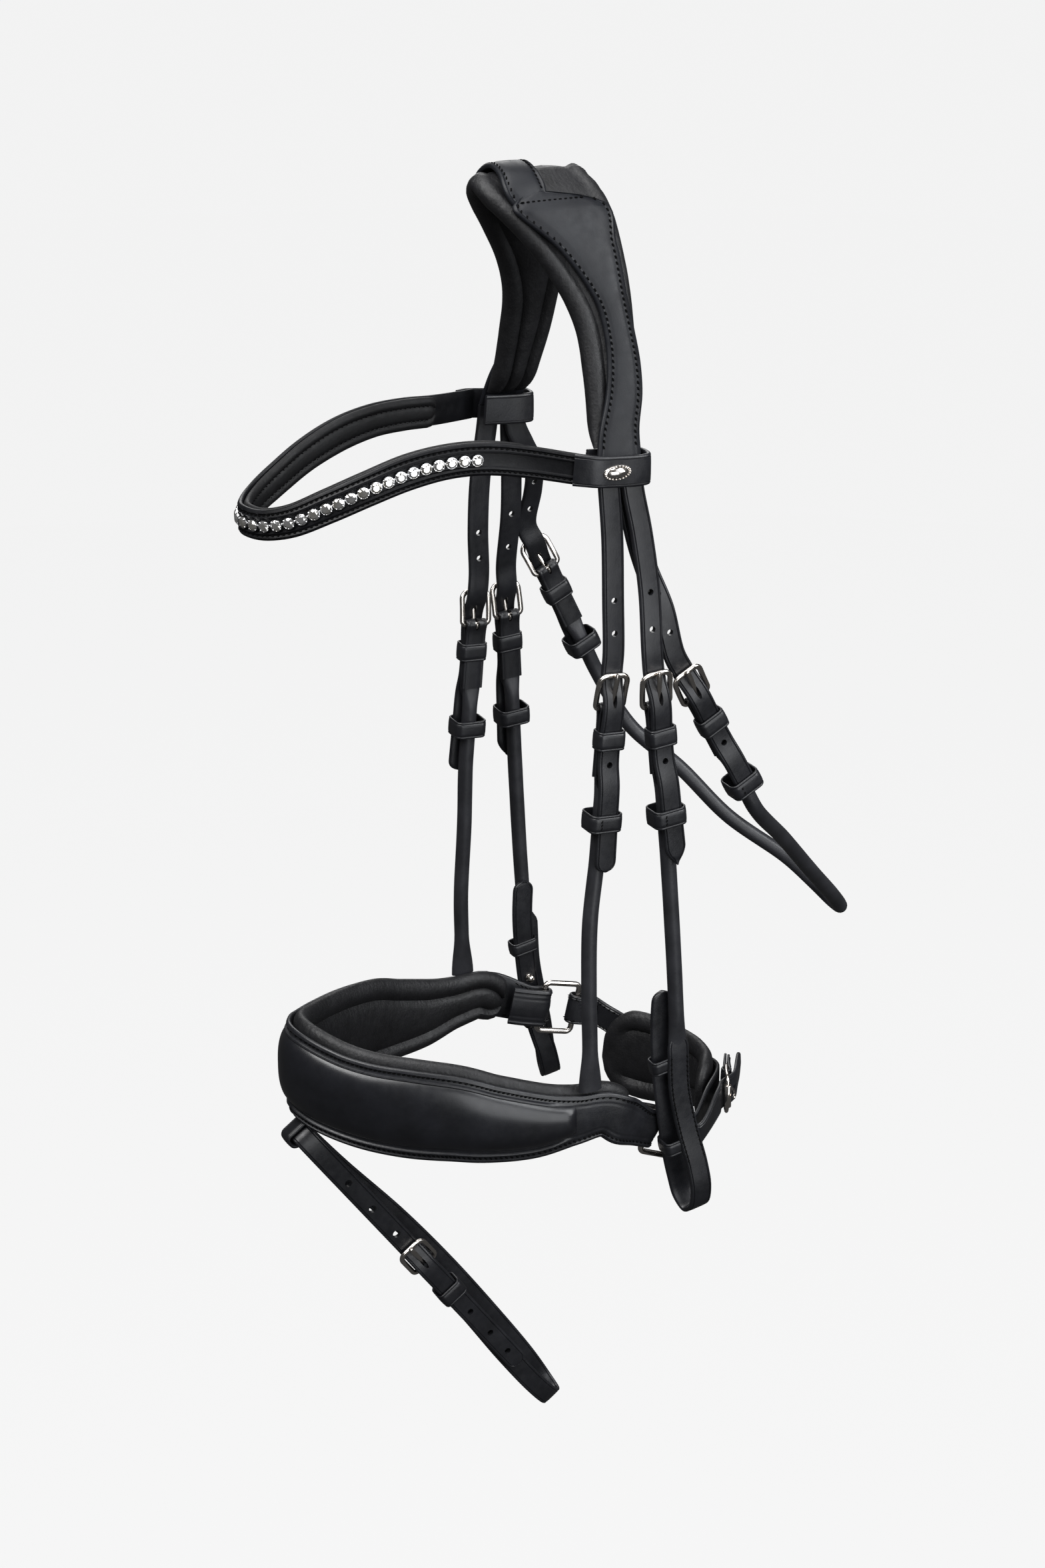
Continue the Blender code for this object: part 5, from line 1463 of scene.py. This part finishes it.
def noseband_facing(near, far):
    far_part = [(-0.0840, 0.0180, -0.4960, 0.0280)]
    near_part = [(0.0840, 0.0175, -0.4985, 0.0285)]
    middle = far_part + noseband_line(FACING_LIFT, 0.0035, 0.0) + near_part
    far_tab, near_tab = tab_route(far)[::-1], tab_route(near)
    sides = [far.bar] * len(far_tab) + [UP] * len(middle) + [near.bar] * len(near_tab)
    route = Route(far_tab + middle + near_tab, sides, step=0.0022)
    tab = 0.088

    def ridge(place):
        return min(max((min(place, route.length - place) - tab) / 0.012, 0.0), 1.0)

    mesh, trim = Mesh(), Mesh()
    sweep(mesh, route, lambda place, extra: facing_section(extra[0], ridge(place)), STRAP_LEATHER)
    for which in (-1, 1):
        row = inset_row(route, which, 0.0030)
        stitches(trim, route, row, FACING / 2 - 0.0004, 0.022, route.length - 0.022, pitch=0.0027)
        inner = inset_row(route, which, 0.0022)
        for start, stop in ((0.002, 0.052), (route.length - 0.052, route.length - 0.002)):
            stitches(trim, route, inner, -FACING / 2, start, stop, pitch=0.0032)
    show("noseband_facing_leather", mesh, "noseband", ["noseband_facing"], trim=trim)


def raised_panel():
    """The puffed glossy panel."""
    lift = FACING_LIFT + FACING / 2 + NOSE_GAP + 0.0021
    route = Route(noseband_line(lift, 0.0100, 0.0090, last=9), (0, 0, 1), step=0.0022)

    def section(place, extra):
        share = end_share(place, route.length, 0.007)
        half = extra[0] / 2 + 0.0012
        pairs = []
        for u in np.sin(np.linspace(-math.pi / 2, math.pi / 2, 27)):
            swell = (1 - min(abs(u), 1.0) ** 2.7) ** 0.62
            n = -0.0034 + 0.0062 * swell * (0.35 + 0.65 * share)
            pairs.append((half * u, soft_ripple(place, half * u, n, 0.00010 * swell, 31.0)))
        pairs += [(half * 0.5, -0.0038), (-half * 0.5, -0.0038)]
        return pairs

    mesh = Mesh()
    sweep(mesh, route, section, GLOSSY)
    obj = show("noseband_raised_panel_leather", mesh, "noseband", ["noseband_raised_panel"])


def link(side_name, end):
    middle = end.front + end.back * LINK_LENGTH / 2
    outline = filled(outline_ring(LINK_HEIGHT / 2, LINK_LENGTH / 2, LINK_CORNER, steps=8), 0.002)
    points = [middle + end.bar * a + end.back * b for a, b in outline]
    mesh = Mesh()
    loop_sweep(mesh, points, end.out, wire_section(0.00165, 0.00150, count=16), NICKEL)
    show(f"link_{side_name}_wire", mesh, f"link_{side_name}", [f"link_{side_name}"])


# ---------------------------------------------------------------- chin
CHIN_LINE = [
    (-0.0590, 0.0850, -0.5170),
    (-0.0440, 0.0990, -0.5270),
    (-0.0220, 0.1120, -0.5300),
    (0.0000, 0.1170, -0.5290),
    (0.0200, 0.1135, -0.5235),
    (0.0370, 0.1040, -0.5185),
    (0.0520, 0.0900, -0.5175),
]
CHIN_PAD = [
    (-0.0550, 0.0790, -0.5310, 0.0480),
    (-0.0400, 0.0930, -0.5330, 0.0580),
    (-0.0190, 0.1055, -0.5320, 0.0540),
    (0.0000, 0.1100, -0.5290, 0.0460),
    (0.0180, 0.1070, -0.5260, 0.0420),
    (0.0320, 0.0990, -0.5225, 0.0400),
    (0.0430, 0.0888, -0.5200, 0.0360),
]
CRANK_HEEL = (0.0410, 0.1080, -0.5165)
CRANK_DOWN = (-0.79, 0.61, -0.05)


def chin_pad():
    """A soft pad with a fat rim all round and a sunken, wrinkled middle facing the chin."""
    route = Route(CHIN_PAD, (0, 0, 1), step=0.0018)

    def section(place, extra):
        share = end_share(place, route.length, 0.017)
        away = min(place, route.length - place)
        sunk = 0.0030 * min(max((away - 0.008) / 0.010, 0.0), 1.0)
        width, thick = extra[0] * (0.30 + 0.70 * share), 0.0084 * (0.45 + 0.55 * share)
        pairs = cushion_section(width, thick, (0.0075, 0.0080), sunk, 0.0, 0.0008)
        out = []
        for a, n in pairs:
            if n < 0:
                middle = max(1 - abs(a) / (extra[0] * 0.42), 0.0)
                curl = noise.noise(Vector((place * 260.0, a * 50.0, 41.0)))
                n += middle * sunk / 0.0030 * 0.0013 * curl
            out.append((a, -soft_ripple(place, a, n, 0.00035, 40.0)))
        return out

    mesh, trim = Mesh(), Mesh()
    sweep(mesh, route, section, SOFT)
    obj = show("chin_pad_leather", mesh, "chin", ["chin_pad"], trim=trim)


def crank_buckle():
    return Buckle(CRANK_HEEL, CRANK_DOWN, (0.61, 0.79, 0.0), width=CHIN_WIDTH)


def chin_strap(near, far):
    """One strap from the far link, through the near link and back to a buckle."""
    fold = LINK_WIRE + 0.0012 + CHIN_STRAP / 2
    start = [far.rear + far.back * 0.012 - far.out * fold]
    start += far.around(far.rear, fold, range(-90, -271, -30))
    start += [far.rear + far.back * 0.008 + far.out * (fold + 0.0002)]
    inner = [near.rear + near.back * 0.009 - near.out * fold]
    inner += near.around(near.rear, fold, range(-90, -271, -30))
    inner += [near.rear + near.back * 0.009 + near.out * (fold + 0.0006)]
    buckle = crank_buckle()
    outer = [buckle.at(up, out) for up, out in ((0.026, -0.0007), (0.0185, -0.0007), (0.013, 0.0012))]
    outer += [buckle.at(up, out) for up, out in ((0.008, 0.0038), (0.003, 0.0051), (-0.001, 0.0052))]
    outer += [buckle.at(up, out) for up, out in ((-0.008, 0.0048), (-0.018, 0.0042), (-0.028, 0.0040))]
    points = [tuple(p) for p in start] + CHIN_LINE + [tuple(p) for p in inner + outer]
    sides = [far.bar] * len(start) + [UP] * len(CHIN_LINE) + [near.bar] * len(inner)
    sides += [buckle.across * (1 if buckle.across.z > 0 else -1)] * len(outer)
    route = Route(points, sides, step=0.0022, tip=0.010)

    def section(place, _):
        share = tip_share("round", route.length - place, 0.007)
        return two_faced_section(CHIN_WIDTH * share, CHIN_STRAP)

    mesh, trim, cutter = Mesh(), Mesh(), Mesh()
    sweep(mesh, route, section, STRAP_LEATHER)
    buckle.slot_cutter(cutter, 0.0062, 0.0042, 0.0095)
    cylinder(cutter, buckle.at(-0.0200, 0.0041), buckle.out, 0.0019, 0.006, STRAP_LEATHER)
    for offset in (-0.0068, 0.0068):
        stitches(trim, route, offset, CHIN_STRAP / 2, 0.012, 0.060)
        stitches(trim, route, offset, -CHIN_STRAP / 2, 0.012, 0.060)
    show("chin_strap_leather", mesh, "chin", ["chin_strap"], cutter=cutter, trim=trim)
    buckle.frame("crank_buckle", "chin")
    buckle.tongue("crank_tongue", "crank_tongue", lift=0.0009)
    crank_roller(buckle)
    crank_chape(buckle)


def two_faced_section(width, thickness):
    """A strap creased on both faces."""
    half, rise = width / 2, thickness / 2
    rim = rounded_edge(half, rise, min(rise * 0.9, half * 0.5), low=0.0, count=4)
    rim += creased_face(half, rise, 0.0016, 0.00034, 0.00006, 0.00012)
    top = rim + [(-a, n) for a, n in rim[::-1]]
    return top + [(a, -n) for a, n in top[::-1][1:-1]]


def crank_roller(buckle):
    """A short tube with rounded ends that turns on the top bar."""
    centre = buckle.at(FRAME_LENGTH, FRAME_RISE)
    half = buckle.half_frame - 0.0034 - 0.0006
    mesh = Mesh()
    profile = [(0.0016, -0.97), (0.0020, -1.0), (0.00225, -0.96)]
    profile += [(0.00225, 0.96), (0.0020, 1.0), (0.0016, 0.97)]

    def point(t, radius, share):
        middle = centre + buckle.across * (half * share)
        return middle + buckle.up * radius * math.cos(t) + buckle.out * radius * math.sin(t)

    mesh.rings(turned(24, profile, point), NICKEL, closed=True)
    show("crank_roller_tube", mesh, "crank_roller", ["crank_roller"])


def crank_chape(buckle):
    """Leather folded round the heel bar, its two ends brought together on the chin strap."""
    points = [buckle.at(-0.020, -0.0032), buckle.at(-0.012, -0.0026), buckle.at(-0.005, -0.0018)]
    points += buckle.heel_fold(CHAPE)
    points += [buckle.at(-0.005, 0.0010), buckle.at(-0.012, -0.0005), buckle.at(-0.019, -0.0012)]
    route = Route([tuple(p) for p in points], tuple(buckle.across), step=0.0016)
    mesh, trim, cutter = Mesh(), Mesh(), Mesh()
    sweep(mesh, route, lambda *_: strap_section(CHIN_WIDTH - 0.0004, CHAPE, depth=0.00012), STRAP_LEATHER)
    buckle.slot_cutter(cutter, *HEEL_SLOT)
    for offset in (-0.0072, 0.0072):
        stitches(trim, route, offset, CHAPE / 2, route.length - 0.015, route.length - 0.001, pitch=0.0027)
    show("crank_chape_leather", mesh, "chin", ["crank_chape"], cutter=cutter, trim=trim)


# ---------------------------------------------------------------- flash strap
FLASH_TOP = Vector((0.0, -0.1420, -0.5070))
FLASH_DOWN = Vector((0.0, 0.5800, -0.8145)).normalized()
FLASH_SIDE = Vector((0.0, 0.8145, 0.5800)).normalized()
FLASH_LENGTH = 0.272
FLASH_HEEL = 0.1235
FLASH_WIDTH = 0.0125
FLASH_STRAP = 0.0022
HOLE_PITCH = 0.025


def flash_point(down, x, aside=0.0):
    return FLASH_TOP + FLASH_DOWN * down + FLASH_SIDE * aside + Vector((x, 0, 0))


def flash():
    """The flash strap: from its buckle down the near side, round, up the far side and through its loop."""
    mesh = Mesh()
    centre = FLASH_TOP + FLASH_DOWN * 0.0006
    band(mesh, centre, FLASH_SIDE, -FLASH_DOWN, 0.0084, 0.0040, 0.0104, 0.0021, corner=0.0030)
    show("flash_loop_leather", mesh, "noseband", ["flash_loop"])
    buckle = Buckle(flash_point(FLASH_HEEL, 0.0095), FLASH_DOWN, (1, 0, 0), width=FLASH_WIDTH)
    points = [buckle.at(-0.020, -0.00160), buckle.at(-0.010, -0.00160), buckle.at(-0.004, -0.0018)]
    points += buckle.heel_fold(FLASH_STRAP)
    points += [buckle.at(-0.004, 0.0018), buckle.at(-0.010, 0.0014), buckle.at(-0.045, 0.0005)]
    route = [(0.215, 0.0085, -0.0018), (0.248, 0.0085, -0.0018), (0.265, 0.0065, -0.0005)]
    route += [(FLASH_LENGTH - 0.0012, 0.0, 0.0010), (0.265, -0.0065, 0.0025), (0.243, -0.0085, 0.0050)]
    route += [(0.200, -0.0095, 0.0068), (0.150, -0.0100, 0.0075), (0.100, -0.0105, 0.0060)]
    route += [(0.045, -0.0105, 0.0015), (0.012, -0.0100, 0.0), (0.003, -0.0080, 0.0)]
    points += [flash_point(*place) for place in route]
    points += [flash_point(0.0, -0.0050), flash_point(0.0, 0.0050), flash_point(0.003, 0.0080)]
    points += [flash_point(0.012, 0.0100), flash_point(0.050, 0.0100)]
    tail = [(0.030, 0.0), (0.0185, 0.0002), (0.013, 0.0014), (0.008, 0.0038), (0.003, 0.0051)]
    tail += [(-0.001, 0.0054), (-0.006, 0.0052), (-0.013, 0.0046), (-0.045, 0.0042)]
    tail += [(-0.075, 0.0042), (-0.100, 0.0042)]
    points += [buckle.at(up, out) for up, out in tail]
    line = Route([tuple(p) for p in points], tuple(FLASH_SIDE), step=0.0022, tip=0.010)

    def section(place, _):
        share = tip_share("round", line.length - place, 0.005)
        return two_faced_section(FLASH_WIDTH * share, FLASH_STRAP)

    mesh, trim, cutter = Mesh(), Mesh(), Mesh()
    sweep(mesh, line, section, STRAP_LEATHER)
    buckle.slot_cutter(cutter, 0.0062, 0.0044, 0.0095)
    buckle.slot_cutter(cutter, *HEEL_SLOT)
    for k in (1, 2, 3):
        cylinder(cutter, buckle.at(0.0062 + HOLE_PITCH * k, 0.0006), buckle.out, 0.0023, 0.006, STRAP_LEATHER)
    for up in (-0.0447, -0.0668, -0.0862):
        cylinder(cutter, buckle.at(up, 0.0042), buckle.out, 0.0019, 0.0046, STRAP_LEATHER)
    for offset in (-0.0042, 0.0042):
        stitches(trim, line, offset, -FLASH_STRAP / 2, 0.002, 0.016)
    show("flash_strap_leather", mesh, "flash", ["flash_strap"], cutter=cutter, trim=trim, folded=True)
    buckle.frame("flash_buckle", "flash")
    buckle.tongue("flash_tongue", "flash_tongue")
    back, front = -0.0042, 0.0070
    mesh = Mesh()
    centre = buckle.at(-0.0250, (back + front) / 2)
    deep = (front - back) / 2
    band(mesh, centre, buckle.across, buckle.out, 0.0074, deep, KEEPER_WIDTH, KEEPER_WALL, corner=0.0026)
    show("flash_keeper_leather", mesh, "flash", ["flash_keeper"])


# ---------------------------------------------------------------- studio
CAMERA_AZIMUTH = 63.65
CAMERA_ELEVATION = 22.4
CAMERA_PLACE = Vector((1.3344, -0.6642, 0.289))
VERTICAL_VIEW = math.radians(30)
LIT_POINT = Vector((0, 0, -0.3))
WORLD_LIGHT = 0.055
BACKDROP_TURNS = 32
BACKDROP_PROFILE = [
    (0.0, -1.6),
    (3.0, -1.6),
    (4.2, -1.45),
    (5.0, -1.0),
    (5.4, 0.0),
    (5.0, 2.4),
    (3.0, 4.6),
    (0.0, 5.2),
]


def back_vector(azimuth, elevation):
    """The unit vector from the object towards a viewer. Azimuth 0 looks along +Y, 90 along -X."""
    a, e = math.radians(azimuth), math.radians(elevation)
    return Vector((math.sin(a) * math.cos(e), -math.cos(a) * math.cos(e), math.sin(e)))


def area_light(name, azimuth, elevation, distance, size, power, color=(1, 1, 1)):
    data = bpy.data.lights.new(name, "AREA")
    data.shape = "RECTANGLE"
    data.size, data.size_y = size
    data.energy = power
    data.color = color
    lamp = bpy.data.objects.new(name, data)
    toward = back_vector(azimuth, elevation)
    lamp.location = LIT_POINT + toward * distance
    lamp.rotation_euler = toward.to_track_quat("Z", "Y").to_euler()
    bpy.context.scene.collection.objects.link(lamp)


def backdrop():
    """A pale floor that curves up into a wall and closes overhead, seen by the camera alone."""
    mesh = Mesh()
    rings = turned(BACKDROP_TURNS, BACKDROP_PROFILE, lambda t, r, z: (r * math.cos(t), r * math.sin(t), z))
    mesh.rings(np.array(rings), PAPER, closed=False, caps=False)
    data = mesh.data("studio_backdrop")
    obj = bpy.data.objects.new("studio_backdrop", data)
    obj.visible_glossy = False
    obj.visible_diffuse = False
    obj.visible_shadow = False
    bpy.context.scene.collection.objects.link(obj)


def studio():
    backdrop()
    world = bpy.data.worlds.new("studio_world")
    world.use_nodes = True
    background = world.node_tree.nodes["Background"]
    background.inputs["Color"].default_value = (1.0, 1.0, 1.0, 1)
    background.inputs["Strength"].default_value = WORLD_LIGHT
    bpy.context.scene.world = world
    bpy.context.scene.view_settings.view_transform = "Standard"
    area_light("key", 25, 52, 2.4, (1.5, 1.5), 60.0)
    area_light("rim", 135, 32, 2.4, (1.0, 2.0), 42.0, (0.96, 0.98, 1.0))
    area_light("fill", 96, 8, 2.8, (1.8, 2.4), 40.0, (0.96, 0.98, 1.0))
    area_light("top", 60, 86, 2.2, (1.6, 1.6), 30.0)
    area_light("back", 250, 30, 2.8, (1.6, 1.6), 24.0)
    data = bpy.data.cameras.new("camera")
    data.sensor_width = 36.0
    data.lens = data.sensor_width / 2 / math.tan(VERTICAL_VIEW / 2)
    camera = bpy.data.objects.new("camera", data)
    camera.location = CAMERA_PLACE
    view = -back_vector(CAMERA_AZIMUTH, CAMERA_ELEVATION)
    camera.rotation_euler = view.to_track_quat("-Z", "Y").to_euler()
    bpy.context.scene.collection.objects.link(camera)
    bpy.context.scene.camera = camera


headpiece_pad()
for each, its_sign in SIDES.items():
    headpiece_panel(each, its_sign)
poll_bridge()
browband()
hangers()
cheeks()
bit_ends()
throat_latch()
noseband()
flash()
studio()

bpy.context.view_layer.update()
